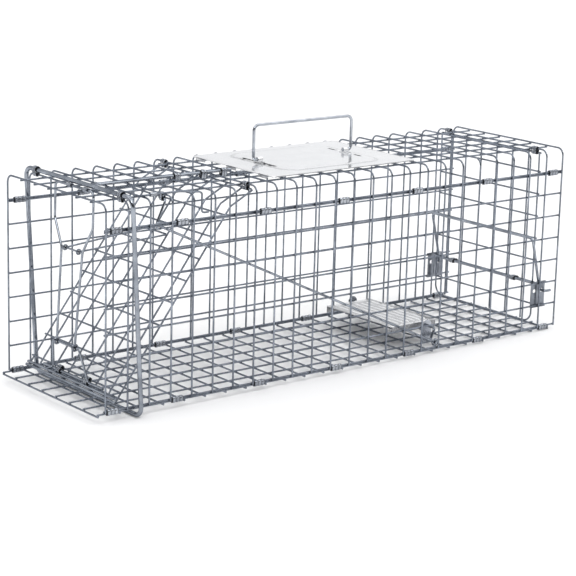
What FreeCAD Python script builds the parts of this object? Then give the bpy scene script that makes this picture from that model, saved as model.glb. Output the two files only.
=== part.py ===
"""Live animal cage trap: a welded-mesh cage with a lock-yoke front door, a rear door and a treadle trigger.

Frame: X runs from the front to the rear, Y from the near side to the far side, Z up.
The origin is under the middle of the cage, level with the lowest point of the front hoop.
Places along the mesh are counted in cells of one pitch, from the front uprights, the near side
panel's weld plane and the side panels' lowest wires.
"""
import FreeCAD
import Part
import Sketcher
import math
import os

Vec = FreeCAD.Vector
Turn = FreeCAD.Rotation
Place = FreeCAD.Placement

X_AXIS = Vec(1, 0, 0)
Y_AXIS = Vec(0, 1, 0)
Z_AXIS = Vec(0, 0, 1)

# Driving sizes in millimetres
LENGTHS = {
    "pitch": 25.4,
    "wire": 1.9,
    "wire_end": 0.8,
    "roof_bend": 8.0,
    "sheet": 0.9,
    "sleeve_length": 13.0,
    "hinge_sleeve_length": 8.0,
    "clip_length": 7.0,
    "catch_clip_length": 4.7,
    "sleeve_seam": 0.6,
    "run_gap": 0.35,
    "still_gap": 0.2,
    "side_gap": 0.4,
    "overrun": 2.0,
    "rod_wire": 3.0,
    "lock_wire": 2.5,
    "hoop_wire": 4.6,
    "hoop_bend": 10.0,
    "hoop_rise": 4.7,
    "yoke_bend": 6.0,
    "link_bend": 5.0,
    "tie_bend": 4.0,
    "catch_bend": 3.0,
    "door_bend": 6.0,
    "corner_bend": 12.0,
    "door_hem": 3.6,
    "hook_size": 8.0,
    "bail_bend": 2.5,
    "bail_hook": 8.0,
    "latch_width": 21.6,
    "latch_sheet": 0.8,
    "latch_lip": 1.8,
    "latch_rib_width": 2.6,
    "latch_rib_rise": 0.5,
    "latch_hole": 4.6,
    "plate_length": 194.0,
    "plate_width": 140.0,
    "plate_sheet": 1.0,
    "plate_corner": 5.0,
    "plate_rise": 1.1,
    "panel_margin": 16.0,
    "panel_end_margin": 32.5,
    "panel_rise": 0.8,
    "panel_corner": 16.0,
    "slit_length": 58.0,
    "slit_width": 3.0,
    "plate_lip_length": 16.0,
    "plate_lip_drop": 2.6,
    "handle_wire": 3.2,
    "handle_length": 132.0,
    "handle_height": 41.0,
    "handle_bend": 6.0,
    "handle_foot_bend": 4.0,
    "handle_stub": 10.8,
    "saddle_length": 6.0,
    "saddle_width": 12.0,
    "pan_length": 63.5,
    "pan_width": 112.0,
    "pan_skirt": 7.0,
    "pan_rib_width": 4.0,
    "pan_rib_rise": 1.0,
    "axle_height": 17.5,
    "axle_setback": 19.0,
    "axle_bend": 3.5,
    "crank_arm": 15.0,
    "catch_arm": 26.7,
    "bracket_width": 12.0,
    "bracket_sheet": 1.2,
    "eye_gap": 0.5,
}

# Whole numbers of mesh cells
COUNTS = {
    "fore_aft_cells": 24,
    "mouth_cells": 7,
    "side_cells": 7,
    "roof_cells": 8,
    "rear_door_cells": 8,
    "pan_ribs": 7,
}

# Places in cells of one pitch
SHARES = {
    "floor_shift_share": 0.3,
    "door_edge_share": 0.35,
    "front_hinge_share": 7,
    "door_bend_x_share": 5.95,
    "door_bend_z_share": 7.3,
    "door_foot_x_share": 0.62,
    "door_foot_z_share": 0.2,
    "lock_rod_share": 0.3,
    "hoop_x_share": 1.0,
    "hoop_out_share": 0.3,
    "hoop_foot_x_share": 1.46,
    "hoop_foot_z_share": -0.35,
    "hoop_clip_share": 0.47,
    "yoke_half_share": 1.36,
    "yoke_shoulder_x_share": 0.83,
    "yoke_shoulder_z_share": 6.6,
    "waist_half_share": 0.75,
    "waist_x_share": 0.75,
    "waist_z_share": 5.55,
    "link_half_share": 0.65,
    "link_x_share": 0.47,
    "link_z_share": 1.8,
    "link_foot_half_share": 1.25,
    "tie_half_share": 0.48,
    "tie_rear_half_share": 0.75,
    "tie_rear_x_share": 4.8,
    "hinge_sleeve_share": 0.7,
    "roof_rod_y_share": 3,
    "roof_rod_start_share": 1.7,
    "roof_rod_end_share": 0.05,
    "rear_hinge_share": 23,
    "rear_foot_share": 0.17,
    "brace_z_share": 2,
    "brace_sleeve_share": 1.5,
    "latch_x_share": 23.02,
    "latch_front_hole_share": 22.8,
    "latch_pivot_x_share": 23.25,
    "latch_pivot_z_share": 1.66,
    "bail_top_x_share": 22.65,
    "bail_top_z_share": 4.05,
    "plate_centre_share": 12.175,
    "handle_centre_share": 12.1,
    "pan_front_share": 15.5,
    "bracket_y_share": 1,
    "rod_y_share": 0.2,
    "crank_y_share": 0.5,
    "catch_x_share": 3,
    "catch_inner_share": 0.86,
    "catch_arm_y_share": 0.42,
    "catch_sleeve_share": 0.66,
    "catch_hook_y_share": 0.42,
    "catch_hook_start_share": 1.85,
    "catch_hook_turn_share": 3.55,
    "catch_hook_x_share": 4.3,
    "catch_hook_z_share": 7.26,
    "catch_hook_sleeve_share": 2.4,
}

EDGE_SLEEVE_SHARES = (0.5, 3.5, 7.5, 11.5, 15.5, 19.5, 23.5)
ROOF_ROD_CLIP_SHARES = (2.7, 1.4, 0.4)
YOKE_RING_SHARES = (2.66, 3.8)
LOCK_SLEEVE_SHARES = (2.5, 4.5)

doc = FreeCAD.newDocument("cage_trap")
sheet = doc.addObject("Spreadsheet::Sheet", "dims")


def fill_sheet():
    """Write every driving size into its own named cell."""
    row = 1
    for table in (LENGTHS, COUNTS, SHARES):
        for name, value in table.items():
            sheet.set("A%d" % row, name)
            sheet.set("B%d" % row, str(value))
            sheet.setAlias("B%d" % row, name)
            row += 1
    doc.recompute()


fill_sheet()


def size(name):
    """Read one driving size from the sheet."""
    return float(sheet.get(name))


def count(name):
    """Read one whole number from the sheet."""
    return int(round(size(name)))


PITCH = size("pitch")
WIRE = size("wire")
WIRE_R = WIRE / 2
ROD_R = size("rod_wire") / 2
LOCK_R = size("lock_wire") / 2
HOOP_R = size("hoop_wire") / 2
HANDLE_R = size("handle_wire") / 2
SHEET = size("sheet")
RUN_GAP = size("run_gap")
END = size("wire_end")

CAGE_LENGTH = count("fore_aft_cells") * PITCH
CAGE_WIDTH = count("mouth_cells") * PITCH
ROOF_Z = count("roof_cells") * PITCH
RAIL_Z = count("side_cells") * PITCH
MID_Y = CAGE_WIDTH / 2
FLOOR_SHIFT = size("floor_shift_share") * PITCH
HOOP_FOOT_Z = size("hoop_foot_z_share") * PITCH

# The origin: middle of the length with the forward floor, middle of the width, foot of the hoop
SHIFT = Vec(-(CAGE_LENGTH - FLOOR_SHIFT) / 2, -MID_Y, HOOP_R - HOOP_FOOT_Z)

NODES = {}


def cells(name):
    """Length of a share of the pitch."""
    return size(name) * PITCH


def at(x, y, z):
    """Point of the part's frame from distances to the front, the near side and the side wires' foot."""
    return Vec(x, y, z) + SHIFT


def mirrored(point):
    """The same point on the other side of the cage's middle plane."""
    return Vec(point.x, -point.y, point.z)


def named(kind, label):
    """A new document object with its label."""
    item = doc.addObject(kind, label)
    item.Label = label
    return item


def node(item):
    """Keep an object as one sub-part of its own, under its label."""
    NODES[item.Label] = item
    return item


def along(direction):
    """Rotation that lays a piece's own Z along a direction."""
    return Turn(Z_AXIS, direction)


def straight(label, start, direction, length, width="dims.wire"):
    """A straight round wire from a start point."""
    rod = named("Part::Cylinder", label)
    rod.setExpression("Radius", width + " / 2")
    rod.setExpression("Height", length)
    rod.Placement = Place(start, along(direction))
    return rod


def together(label, items):
    """Separate solids that are kept as one sub-part."""
    group = named("Part::Compound", label)
    group.Links = items
    return node(group)


def copies(label, master, places):
    """One sub-part of equal solids, each a link to the master at its own place."""
    links = []
    for index, place in enumerate(places):
        link = named("App::Link", "%s_%d" % (label, index + 1))
        link.LinkedObject = master
        link.Placement = place
        links.append(link)
    return together(label, links)


def bent_line(points, bends):
    """Straight runs joined by tangent arcs, one arc at each inner point."""
    edges = []
    last = points[0]
    for before, corner, after, bend in zip(points, points[1:], points[2:], bends):
        back = (before - corner).normalize()
        on = (after - corner).normalize()
        half_turn = (math.pi - back.getAngle(on)) / 2
        reach = bend * math.tan(half_turn)
        first = corner + back * reach
        final = corner + on * reach
        middle = corner + (back + on).normalize() * (bend / math.cos(half_turn) - bend)
        edges.append(Part.LineSegment(last, first).toShape())
        edges.append(Part.Arc(first, middle, final).toShape())
        last = final
    edges.append(Part.LineSegment(last, points[-1]).toShape())
    return Part.Wire(edges)


def bent(label, points, bends, width="dims.wire"):
    """A bent round wire: a circle carried along straight runs and arcs."""
    inner = len(points) - 2
    if not isinstance(bends, (list, tuple)):
        bends = [bends] * inner
    line = named("Part::Feature", label + "_line")
    line.Shape = bent_line(points, bends)
    ring = named("Part::Circle", label + "_section")
    ring.setExpression("Radius", width + " / 2")
    ring.Placement = Place(points[0], along(points[1] - points[0]))
    wire = named("Part::Sweep", label)
    wire.Sections = [ring]
    wire.Spine = (line, ["Edge%d" % (index + 1) for index in range(len(line.Shape.Edges))])
    wire.Solid = True
    wire.Frenet = False
    return wire


def fused(label, items):
    """Pieces welded into one solid."""
    whole = named("Part::MultiFuse", label)
    whole.Shapes = items
    return whole


def cut(label, base, tool):
    """A base with a tool's space taken out."""
    rest = named("Part::Cut", label)
    rest.Base = base
    rest.Tool = tool
    return rest


def eye(label, centre, bore_radius, width):
    """A closed eye of wire round an axis along Y."""
    ring = named("Part::Torus", label)
    ring.setExpression("Radius1", "%s + %s / 2" % (bore_radius, width))
    ring.setExpression("Radius2", width + " / 2")
    ring.Placement = Place(centre, along(Y_AXIS))
    return ring


def flat_tube(label, radius, reach, length):
    """Two round ends, side by side along Z, and the block between them, lying along X."""
    low = named("Part::Cylinder", label + "_low")
    low.setExpression("Radius", radius)
    low.setExpression("Height", length)
    low.Placement = Place(Vec(), along(X_AXIS))
    high = named("Part::Cylinder", label + "_high")
    high.setExpression("Radius", radius)
    high.setExpression("Height", length)
    high.setExpression(".Placement.Base.z", reach)
    high.Placement.Rotation = along(X_AXIS)
    block = named("Part::Box", label + "_block")
    block.setExpression("Length", length)
    block.setExpression("Width", "2 * (%s)" % radius)
    block.setExpression("Height", reach)
    block.setExpression(".Placement.Base.y", "-(%s)" % radius)
    return fused(label, [low, high, block])


def sleeve(label, bore, reach, length, seam_side=1):
    """A rolled sheet sleeve round two wires: along X, the wires one reach apart along Z, with its seam."""
    outer = flat_tube(label + "_outer", "%s + dims.sheet" % bore, reach, length)
    inner = flat_tube(label + "_inner", bore, reach, "%s + 2 * dims.overrun" % length)
    for piece in inner.Shapes:
        piece.setExpression(".Placement.Base.x", "-dims.overrun")
    seam = named("Part::Box", label + "_seam")
    seam.setExpression("Length", "%s + 2 * dims.overrun" % length)
    seam.setExpression("Width", "%s + dims.sheet + dims.overrun" % bore)
    seam.setExpression("Height", "dims.sleeve_seam")
    seam.setExpression(".Placement.Base.x", "-dims.overrun")
    seam.setExpression(".Placement.Base.z", "(%s) / 2 - dims.sleeve_seam / 2" % reach)
    if seam_side < 0:
        seam.setExpression(".Placement.Base.y", "-(%s + dims.sheet + dims.overrun)" % bore)
    space = fused(label + "_space", [inner, seam])
    return cut(label, outer, space)


def sleeve_place(middle, axis, reach_direction, length):
    """Placement of a sleeve: its length centred on a point, its wires spread along a direction."""
    side = reach_direction.cross(axis)
    turn = Turn(axis, side, reach_direction, "XZY")
    return Place(middle - axis * (length / 2), turn)


def mesh_wires(label, starts, direction, length):
    """A row of equal straight wires."""
    return [
        straight("%s_%02d" % (label, index), start, direction, length)
        for index, start in enumerate(starts)
    ]


# Cage: floor, sides and roof of welded wire
ALONG_LENGTH = "dims.fore_aft_cells * dims.pitch + 2 * dims.wire_end"


def floor_panel():
    """Floor: set forward of the sides, its outer wires under the sides' lowest wires, cross wires beneath."""
    level = -WIRE
    across = [WIRE_R] + [step * PITCH for step in range(1, count("mouth_cells"))] + [CAGE_WIDTH - WIRE_R]
    long_starts = [at(-FLOOR_SHIFT - END, y, level) for y in across]
    cross_starts = [
        at(step * PITCH - FLOOR_SHIFT, WIRE_R - END, level - WIRE)
        for step in range(count("fore_aft_cells") + 1)
    ]
    wires = mesh_wires("floor_long", long_starts, X_AXIS, ALONG_LENGTH)
    width = "dims.mouth_cells * dims.pitch - dims.wire + 2 * dims.wire_end"
    wires += mesh_wires("floor_cross", cross_starts, Y_AXIS, width)
    together("floor_panel", wires)


def side_panel(label, weld_y, outward):
    """Side: uprights outside, long wires inside, the top one just under the roof flange's wire."""
    heights = [step * PITCH for step in range(count("side_cells"))] + [RAIL_Z - WIRE]
    long_starts = [at(-END, weld_y - outward * WIRE_R, z) for z in heights]
    up_starts = [
        at(step * PITCH, weld_y + outward * WIRE_R, -END) for step in range(count("fore_aft_cells") + 1)
    ]
    wires = mesh_wires(label + "_long", long_starts, X_AXIS, ALONG_LENGTH)
    height = "dims.side_cells * dims.pitch - dims.wire + 2 * dims.wire_end"
    wires += mesh_wires(label + "_upright", up_starts, Z_AXIS, height)
    together(label, wires)


def roof_panel():
    """Roof: cross wires on top, bent down at both sides into flanges one cell deep, long wires beneath."""
    near = -WIRE_R
    far = CAGE_WIDTH + WIRE_R
    foot = RAIL_Z - END
    points = [at(0, near, foot), at(0, near, ROOF_Z), at(0, far, ROOF_Z), at(0, far, foot)]
    first = bent("roof_cross_wire", points, size("roof_bend"))
    wires = []
    for step in range(count("fore_aft_cells") + 1):
        link = named("App::Link", "roof_cross_%02d" % step)
        link.LinkedObject = first
        link.Placement = Place(Vec(step * PITCH, 0, 0), Turn())
        wires.append(link)
    starts = [at(-END, step * PITCH, ROOF_Z - WIRE) for step in range(1, count("mouth_cells"))]
    starts += [at(-END, y, RAIL_Z) for y in (WIRE_R, CAGE_WIDTH - WIRE_R)]
    wires += mesh_wires("roof_long", starts, X_AXIS, ALONG_LENGTH)
    together("roof_panel", wires)


def edge_sleeves():
    """Rolled sleeves that close the four long edges, each round the two wires that meet there."""
    bore = "(dims.wire / 2 + dims.still_gap)"
    length = size("sleeve_length")
    near = sleeve("edge_sleeve_near", bore, "dims.wire", "dims.sleeve_length")
    far = sleeve("edge_sleeve_far", bore, "dims.wire", "dims.sleeve_length", -1)
    low_shift = FLOOR_SHIFT / 2
    for side, master, y in (("near", near, WIRE_R), ("far", far, CAGE_WIDTH - WIRE_R)):
        top = [at(share * PITCH, y, RAIL_Z - WIRE) for share in EDGE_SLEEVE_SHARES]
        low = [at(share * PITCH - low_shift, y, -WIRE) for share in EDGE_SLEEVE_SHARES]
        copies(side + "_top_sleeves", master, [sleeve_place(p, X_AXIS, Z_AXIS, length) for p in top])
        copies(side + "_bottom_sleeves", master, [sleeve_place(p, X_AXIS, Z_AXIS, length) for p in low])


def roof_rod():
    """A stiffening rod on the roof's cross wires, clipped to the long wire beneath, that stops short of the plate."""
    y = cells("roof_rod_y_share")
    z = ROOF_Z + WIRE_R + ROD_R
    start = cells("roof_rod_start_share")
    plate_front = cells("plate_centre_share") - size("plate_length") / 2
    last_wire = math.floor(plate_front / PITCH) * PITCH
    end = last_wire - cells("roof_rod_end_share")
    points = [at(start, y + size("hook_size"), z), at(start, y, z), at(end, y, z)]
    node(bent("roof_rod", points, size("tie_bend"), "dims.rod_wire"))
    bore = "(dims.rod_wire / 2 + dims.still_gap)"
    reach = "(dims.rod_wire / 2 + 3 * dims.wire / 2)"
    clip = sleeve("roof_rod_clip", bore, reach, "dims.clip_length")
    places = [
        sleeve_place(at(last_wire - share * PITCH, y, ROOF_Z - WIRE), X_AXIS, Z_AXIS, size("clip_length"))
        for share in ROOF_ROD_CLIP_SHARES
    ]
    copies("roof_rod_clips", clip, places)


# Doors
HINGE_DROP = 2 * WIRE + size("side_gap")
HINGE_DROP_TEXT = "(2 * dims.wire + dims.side_gap)"
HINGE_Z = ROOF_Z - HINGE_DROP
DOOR_NEAR = cells("door_edge_share")
DOOR_FAR = CAGE_WIDTH - DOOR_NEAR
DOOR_ROWS = [DOOR_NEAR] + [step * PITCH for step in range(1, count("mouth_cells"))] + [DOOR_FAR]
DOOR_WIDTH_TEXT = "dims.mouth_cells * dims.pitch - 2 * dims.door_edge_share * dims.pitch"
ROD_LENGTH_TEXT = DOOR_WIDTH_TEXT + " + dims.wire"

FRONT_HINGE = Vec(cells("front_hinge_share"), 0, HINGE_Z)
DOOR_ELBOW = Vec(cells("door_bend_x_share"), 0, cells("door_bend_z_share"))
DOOR_FOOT = Vec(cells("door_foot_x_share"), 0, cells("door_foot_z_share"))
DOOR_DOWN = (DOOR_FOOT - DOOR_ELBOW).normalize()
DOOR_OUT = DOOR_DOWN.cross(Y_AXIS)
if DOOR_OUT.z < 0:
    DOOR_OUT = DOOR_OUT * -1
ELBOW_DOWN = (DOOR_ELBOW - FRONT_HINGE).normalize()
ELBOW_OUT = Vec(ELBOW_DOWN.z, 0, -ELBOW_DOWN.x)


def beside(point, y):
    """A point of the door's section, at a distance from the near side, in the part's frame."""
    return at(point.x, y, point.z)


def front_door():
    """Front door: cross wires on the outer face, long wires beneath, bent near the hinge, thick rods at the foot."""
    under = (ELBOW_OUT + DOOR_OUT).normalize()
    elbow_depth = WIRE / math.cos(ELBOW_OUT.getAngle(DOOR_OUT) / 2)
    top = FRONT_HINGE - ELBOW_OUT * WIRE - ELBOW_DOWN * END
    elbow = DOOR_ELBOW - under * elbow_depth
    foot = DOOR_FOOT - DOOR_OUT * WIRE + DOOR_DOWN * END
    first = bent(
        "front_door_long_wire",
        [beside(top, 0), beside(elbow, 0), beside(foot, 0)],
        size("door_bend"),
    )
    wires = []
    for index, y in enumerate(DOOR_ROWS):
        link = named("App::Link", "front_door_long_%02d" % index)
        link.LinkedObject = first
        link.Placement = Place(Vec(0, y, 0), Turn())
        wires.append(link)
    hem = size("door_hem")
    lock_line = cells("lock_rod_share")
    slope_length = (DOOR_FOOT - DOOR_ELBOW).Length
    spots = [FRONT_HINGE]
    rise = lock_line + hem
    while rise < slope_length:
        spots.append(DOOR_FOOT - DOOR_DOWN * rise)
        rise += PITCH
    starts = [beside(spot, DOOR_NEAR - END) for spot in spots]
    wires += mesh_wires("front_door_cross", starts, Y_AXIS, DOOR_WIDTH_TEXT + " + 2 * dims.wire_end")
    together("front_door_mesh", wires)

    lift = DOOR_OUT * (ROD_R - WIRE_R)
    foot_rods = []
    for index, rise in enumerate((0, size("rod_wire") + size("side_gap"))):
        spot = DOOR_FOOT + lift - DOOR_DOWN * rise
        foot_rods.append(
            straight(
                "front_door_foot_rod_%d" % (index + 1),
                beside(spot, DOOR_NEAR - WIRE_R),
                Y_AXIS,
                ROD_LENGTH_TEXT,
                "dims.rod_wire",
            )
        )
    together("front_door_foot_rods", foot_rods)

    spot = DOOR_FOOT + lift - DOOR_DOWN * lock_line
    rod = straight(
        "lock_cross_rod", beside(spot, DOOR_NEAR + PITCH), Y_AXIS, DOOR_WIDTH_TEXT + " - 2 * dims.pitch", "dims.rod_wire"
    )
    node(rod)
    bore = "(dims.rod_wire / 2 + dims.still_gap)"
    ring = sleeve("lock_rod_sleeve", bore, "dims.door_hem", "dims.clip_length")
    places = [
        sleeve_place(beside(spot, share * PITCH), Y_AXIS, DOOR_DOWN * -1, size("clip_length"))
        for share in LOCK_SLEEVE_SHARES
    ]
    copies("lock_rod_sleeves", ring, places)


def hinge_sleeves(label, x, spots):
    """Rolled sleeves that hang a door's top wire under a roof cross wire."""
    bore = "(dims.wire / 2 + dims.run_gap)"
    master = sleeve(label + "_master", bore, HINGE_DROP_TEXT, "dims.hinge_sleeve_length")
    length = size("hinge_sleeve_length")
    places = [sleeve_place(at(x, y, HINGE_Z), Y_AXIS, Z_AXIS, length) for y in spots]
    copies(label, master, places)


def rear_door():
    """Rear door: upright, cross wires behind, uprights in front, the outer wires and foot in one rounded frame."""
    x = cells("rear_hinge_share")
    foot_z = cells("rear_foot_share")
    front = x - WIRE
    frame = bent(
        "rear_door_frame",
        [
            at(front, DOOR_NEAR, HINGE_Z + END),
            at(front, DOOR_NEAR, foot_z),
            at(front, DOOR_FAR, foot_z),
            at(front, DOOR_FAR, HINGE_Z + END),
        ],
        size("corner_bend"),
    )
    wires = [frame]
    up_from = foot_z + WIRE
    starts = [at(front, y, up_from) for y in DOOR_ROWS[1:-1]]
    height = (
        "dims.roof_cells * dims.pitch - %s + dims.wire_end - dims.rear_foot_share * dims.pitch - dims.wire"
        % HINGE_DROP_TEXT
    )
    wires += mesh_wires("rear_door_upright", starts, Z_AXIS, height)
    heights = [step * PITCH for step in range(1, count("rear_door_cells"))] + [HINGE_Z]
    starts = [at(x, DOOR_NEAR - END, z) for z in heights]
    wires += mesh_wires("rear_door_cross", starts, Y_AXIS, DOOR_WIDTH_TEXT + " + 2 * dims.wire_end")
    together("rear_door_mesh", wires)

    brace_x = front - WIRE_R - ROD_R
    brace_z = cells("brace_z_share")
    node(
        straight(
            "rear_door_brace", at(brace_x, DOOR_NEAR - WIRE_R, brace_z), Y_AXIS, ROD_LENGTH_TEXT, "dims.rod_wire"
        )
    )
    bore = "(dims.rod_wire / 2 + dims.still_gap)"
    reach = "(dims.rod_wire / 2 + 3 * dims.wire / 2)"
    ring = sleeve("brace_sleeve", bore, reach, "dims.clip_length")
    inset = cells("brace_sleeve_share")
    places = [
        sleeve_place(at(brace_x, y, brace_z), Y_AXIS, X_AXIS, size("clip_length"))
        for y in (inset, CAGE_WIDTH - inset)
    ]
    copies("brace_sleeves", ring, places)


# Front hoop, lock yoke, lower link and tie
HOOP_TOP = Vec(cells("hoop_x_share"), 0, ROOF_Z + size("hoop_rise"))
YOKE_RING_R = LOCK_R + RUN_GAP + SHEET
YOKE_PIVOT = Vec(
    cells("hoop_x_share") - WIRE_R - YOKE_RING_R, 0, ROOF_Z - WIRE + WIRE_R + LOCK_R + RUN_GAP
)
WAIST = Vec(cells("waist_x_share"), 0, cells("waist_z_share"))
LINK_PIVOT = Vec(cells("link_x_share"), 0, cells("link_z_share"))


def front_hoop():
    """Front hoop: one thick wire closed round the cage's mouth, hung from two clips on the roof."""
    near = -cells("hoop_out_share")
    far = CAGE_WIDTH - near
    foot_x = cells("hoop_foot_x_share")
    corners = [
        at(HOOP_TOP.x, MID_Y, HOOP_TOP.z),
        at(HOOP_TOP.x, near, HOOP_TOP.z),
        at(foot_x, near, HOOP_FOOT_Z),
        at(foot_x, far, HOOP_FOOT_Z),
        at(HOOP_TOP.x, far, HOOP_TOP.z),
        at(HOOP_TOP.x, MID_Y, HOOP_TOP.z),
    ]
    node(bent("front_hoop", corners, size("hoop_bend"), "dims.hoop_wire"))
    bore = "(dims.hoop_wire / 2 + dims.run_gap)"
    clip = sleeve("hoop_clip", bore, "dims.hoop_rise", "dims.clip_length")
    inset = cells("hoop_clip_share")
    places = [
        sleeve_place(at(HOOP_TOP.x, y, ROOF_Z), Y_AXIS, Z_AXIS, size("clip_length"))
        for y in (inset, CAGE_WIDTH - inset)
    ]
    copies("hoop_clips", clip, places)


def lock_yoke():
    """Lock yoke: a bent wire hung from its top bar, drawn in at the waist, with an eye at each foot."""
    wide = cells("yoke_half_share")
    waist = cells("waist_half_share")
    foot = cells("link_half_share")
    eye_bore = "(dims.lock_wire / 2 + dims.run_gap)"
    eye_r = 2 * LOCK_R + RUN_GAP
    shoulder_x = cells("yoke_shoulder_x_share")
    shoulder_z = cells("yoke_shoulder_z_share")
    half = [
        (LINK_PIVOT.x, foot, LINK_PIVOT.z + eye_r),
        (WAIST.x, waist, WAIST.z),
        (shoulder_x, wide, shoulder_z),
        (YOKE_PIVOT.x, wide, YOKE_PIVOT.z),
    ]
    points = [at(x, MID_Y - y, z) for x, y, z in half]
    points += [at(x, MID_Y + y, z) for x, y, z in reversed(half)]
    frame = bent("lock_yoke_frame", points, size("yoke_bend"), "dims.lock_wire")
    pieces = [frame]
    for index, side in enumerate((-1, 1)):
        centre = at(LINK_PIVOT.x, MID_Y + side * foot, LINK_PIVOT.z)
        pieces.append(eye("lock_yoke_eye_%d" % (index + 1), centre, eye_bore, "dims.lock_wire"))
    pieces.append(
        straight(
            "lock_yoke_waist",
            at(WAIST.x, MID_Y - waist, WAIST.z),
            Y_AXIS,
            "2 * dims.waist_half_share * dims.pitch",
        )
    )
    node(fused("lock_yoke", pieces))

    tube = named("Part::Cylinder", "yoke_ring_outer")
    tube.setExpression("Radius", "dims.lock_wire / 2 + dims.run_gap + dims.sheet")
    tube.setExpression("Height", "dims.clip_length")
    space = named("Part::Cylinder", "yoke_ring_space")
    space.setExpression("Radius", "dims.lock_wire / 2 + dims.run_gap")
    space.setExpression("Height", "dims.clip_length + 2 * dims.overrun")
    space.setExpression(".Placement.Base.z", "-dims.overrun")
    ring = cut("yoke_ring", tube, space)
    half_length = size("clip_length") / 2
    places = [
        Place(at(YOKE_PIVOT.x, share * PITCH - half_length, YOKE_PIVOT.z), along(Y_AXIS))
        for share in YOKE_RING_SHARES
    ]
    copies("yoke_rings", ring, places)


LOCK_ROD_SPOT = DOOR_FOOT + DOOR_OUT * (ROD_R - WIRE_R) - DOOR_DOWN * cells("lock_rod_share")
LINK_FOOT = LOCK_ROD_SPOT + DOOR_OUT * (ROD_R + LOCK_R + size("side_gap"))


def lock_link():
    """Lower link: a crossbar in the yoke's eyes, two legs that spread to the door's lock rod, one hooked foot."""
    top = cells("link_half_share") + size("lock_wire") + size("side_gap")
    low = cells("link_foot_half_share")
    out = Vec(-1, 0, 0) * size("hook_size")
    points = [
        beside(LINK_FOOT, MID_Y - low),
        beside(LINK_PIVOT, MID_Y - top - size("link_bend")),
        beside(LINK_PIVOT, MID_Y + top + size("link_bend")),
        beside(LINK_FOOT, MID_Y + low),
        beside(LINK_FOOT, MID_Y + low) + out,
    ]
    bends = [size("link_bend"), size("link_bend"), size("hook_size") / 2]
    node(bent("lock_link", points, bends, "dims.lock_wire"))


def yoke_tie():
    """Tie: a U of wire, its two eyes on the yoke's waist wire, its rear bar resting over the door."""
    front = cells("tie_half_share")
    rear = cells("tie_rear_half_share")
    down = (cells("tie_rear_x_share") - DOOR_ELBOW.x) / DOOR_DOWN.x
    rest = DOOR_ELBOW + DOOR_DOWN * down + DOOR_OUT * (WIRE + size("side_gap") + RUN_GAP)
    eye_r = WIRE + RUN_GAP
    start = WAIST + Vec(eye_r, 0, 0)
    points = [
        beside(start, MID_Y - front),
        beside(rest, MID_Y - rear),
        beside(rest, MID_Y + rear),
        beside(start, MID_Y + front),
    ]
    pieces = [bent("yoke_tie_frame", points, size("tie_bend"))]
    for index, side in enumerate((-1, 1)):
        centre = beside(WAIST, MID_Y + side * front)
        pieces.append(
            eye("yoke_tie_eye_%d" % (index + 1), centre, "(dims.wire / 2 + dims.run_gap)", "dims.wire")
        )
    node(fused("yoke_tie", pieces))


# Sheet-metal pieces
def body(label):
    """A new body with its label."""
    return named("PartDesign::Body", label)


def plane_sketch(owner, name, role, offset="0"):
    """A sketch on one of a body's own origin planes, set off along the plane's normal."""
    sketch = owner.newObject("Sketcher::SketchObject", name)
    for plane in owner.Origin.OriginFeatures:
        if plane.Role == role:
            sketch.AttachmentSupport = [(plane, "")]
    sketch.MapMode = "FlatFace"
    sketch.setExpression(".AttachmentOffset.Base.z", offset)
    return sketch


def rectangle(sketch, left, low, width, height):
    """A bound rectangle: its lower left corner's place, its width and its height."""
    corners = [Vec(0, 0, 0), Vec(1, 0, 0), Vec(1, 1, 0), Vec(0, 1, 0)]
    first = sketch.GeometryCount
    for index in range(4):
        sketch.addGeometry(Part.LineSegment(corners[index], corners[(index + 1) % 4]), False)
    for index in range(4):
        sketch.addConstraint(
            Sketcher.Constraint("Coincident", first + index, 2, first + (index + 1) % 4, 1)
        )
    for index, kind in enumerate(("Horizontal", "Vertical", "Horizontal", "Vertical")):
        sketch.addConstraint(Sketcher.Constraint(kind, first + index))
    bindings = (
        (("DistanceX", first, 1, first, 2, 1.0), width),
        (("DistanceY", first + 1, 1, first + 1, 2, 1.0), height),
        (("DistanceX", -1, 1, first, 1, 0.0), left),
        (("DistanceY", -1, 1, first, 1, 0.0), low),
    )
    for arguments, expression in bindings:
        index = sketch.addConstraint(Sketcher.Constraint(*arguments))
        sketch.setExpression("Constraints[%d]" % index, expression)


def circle(sketch, across, up, radius):
    """A bound circle: its centre's place and its radius."""
    index = sketch.addGeometry(Part.Circle(Vec(0, 0, 0), Z_AXIS, 1.0), False)
    bindings = (
        (("Radius", index, 1.0), radius),
        (("DistanceX", -1, 1, index, 3, 0.0), across),
        (("DistanceY", -1, 1, index, 3, 0.0), up),
    )
    for arguments, expression in bindings:
        spot = sketch.addConstraint(Sketcher.Constraint(*arguments))
        sketch.setExpression("Constraints[%d]" % spot, expression)


def pad(owner, sketch, length, back=False):
    """Sheet or a rib raised from a sketch."""
    feature = owner.newObject("PartDesign::Pad", sketch.Name + "_pad")
    feature.Profile = sketch
    feature.setExpression("Length", length)
    feature.Reversed = back
    return feature


def pocket(owner, sketch, length, back=False):
    """Space cut from a sketch; it must take material away."""
    doc.recompute()
    before = owner.Shape.Volume
    feature = owner.newObject("PartDesign::Pocket", sketch.Name + "_pocket")
    feature.Profile = sketch
    feature.setExpression("Length", length)
    feature.Reversed = back
    doc.recompute()
    if owner.Shape.Volume >= before:
        raise RuntimeError(sketch.Name + " cuts nothing")
    return feature


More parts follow.
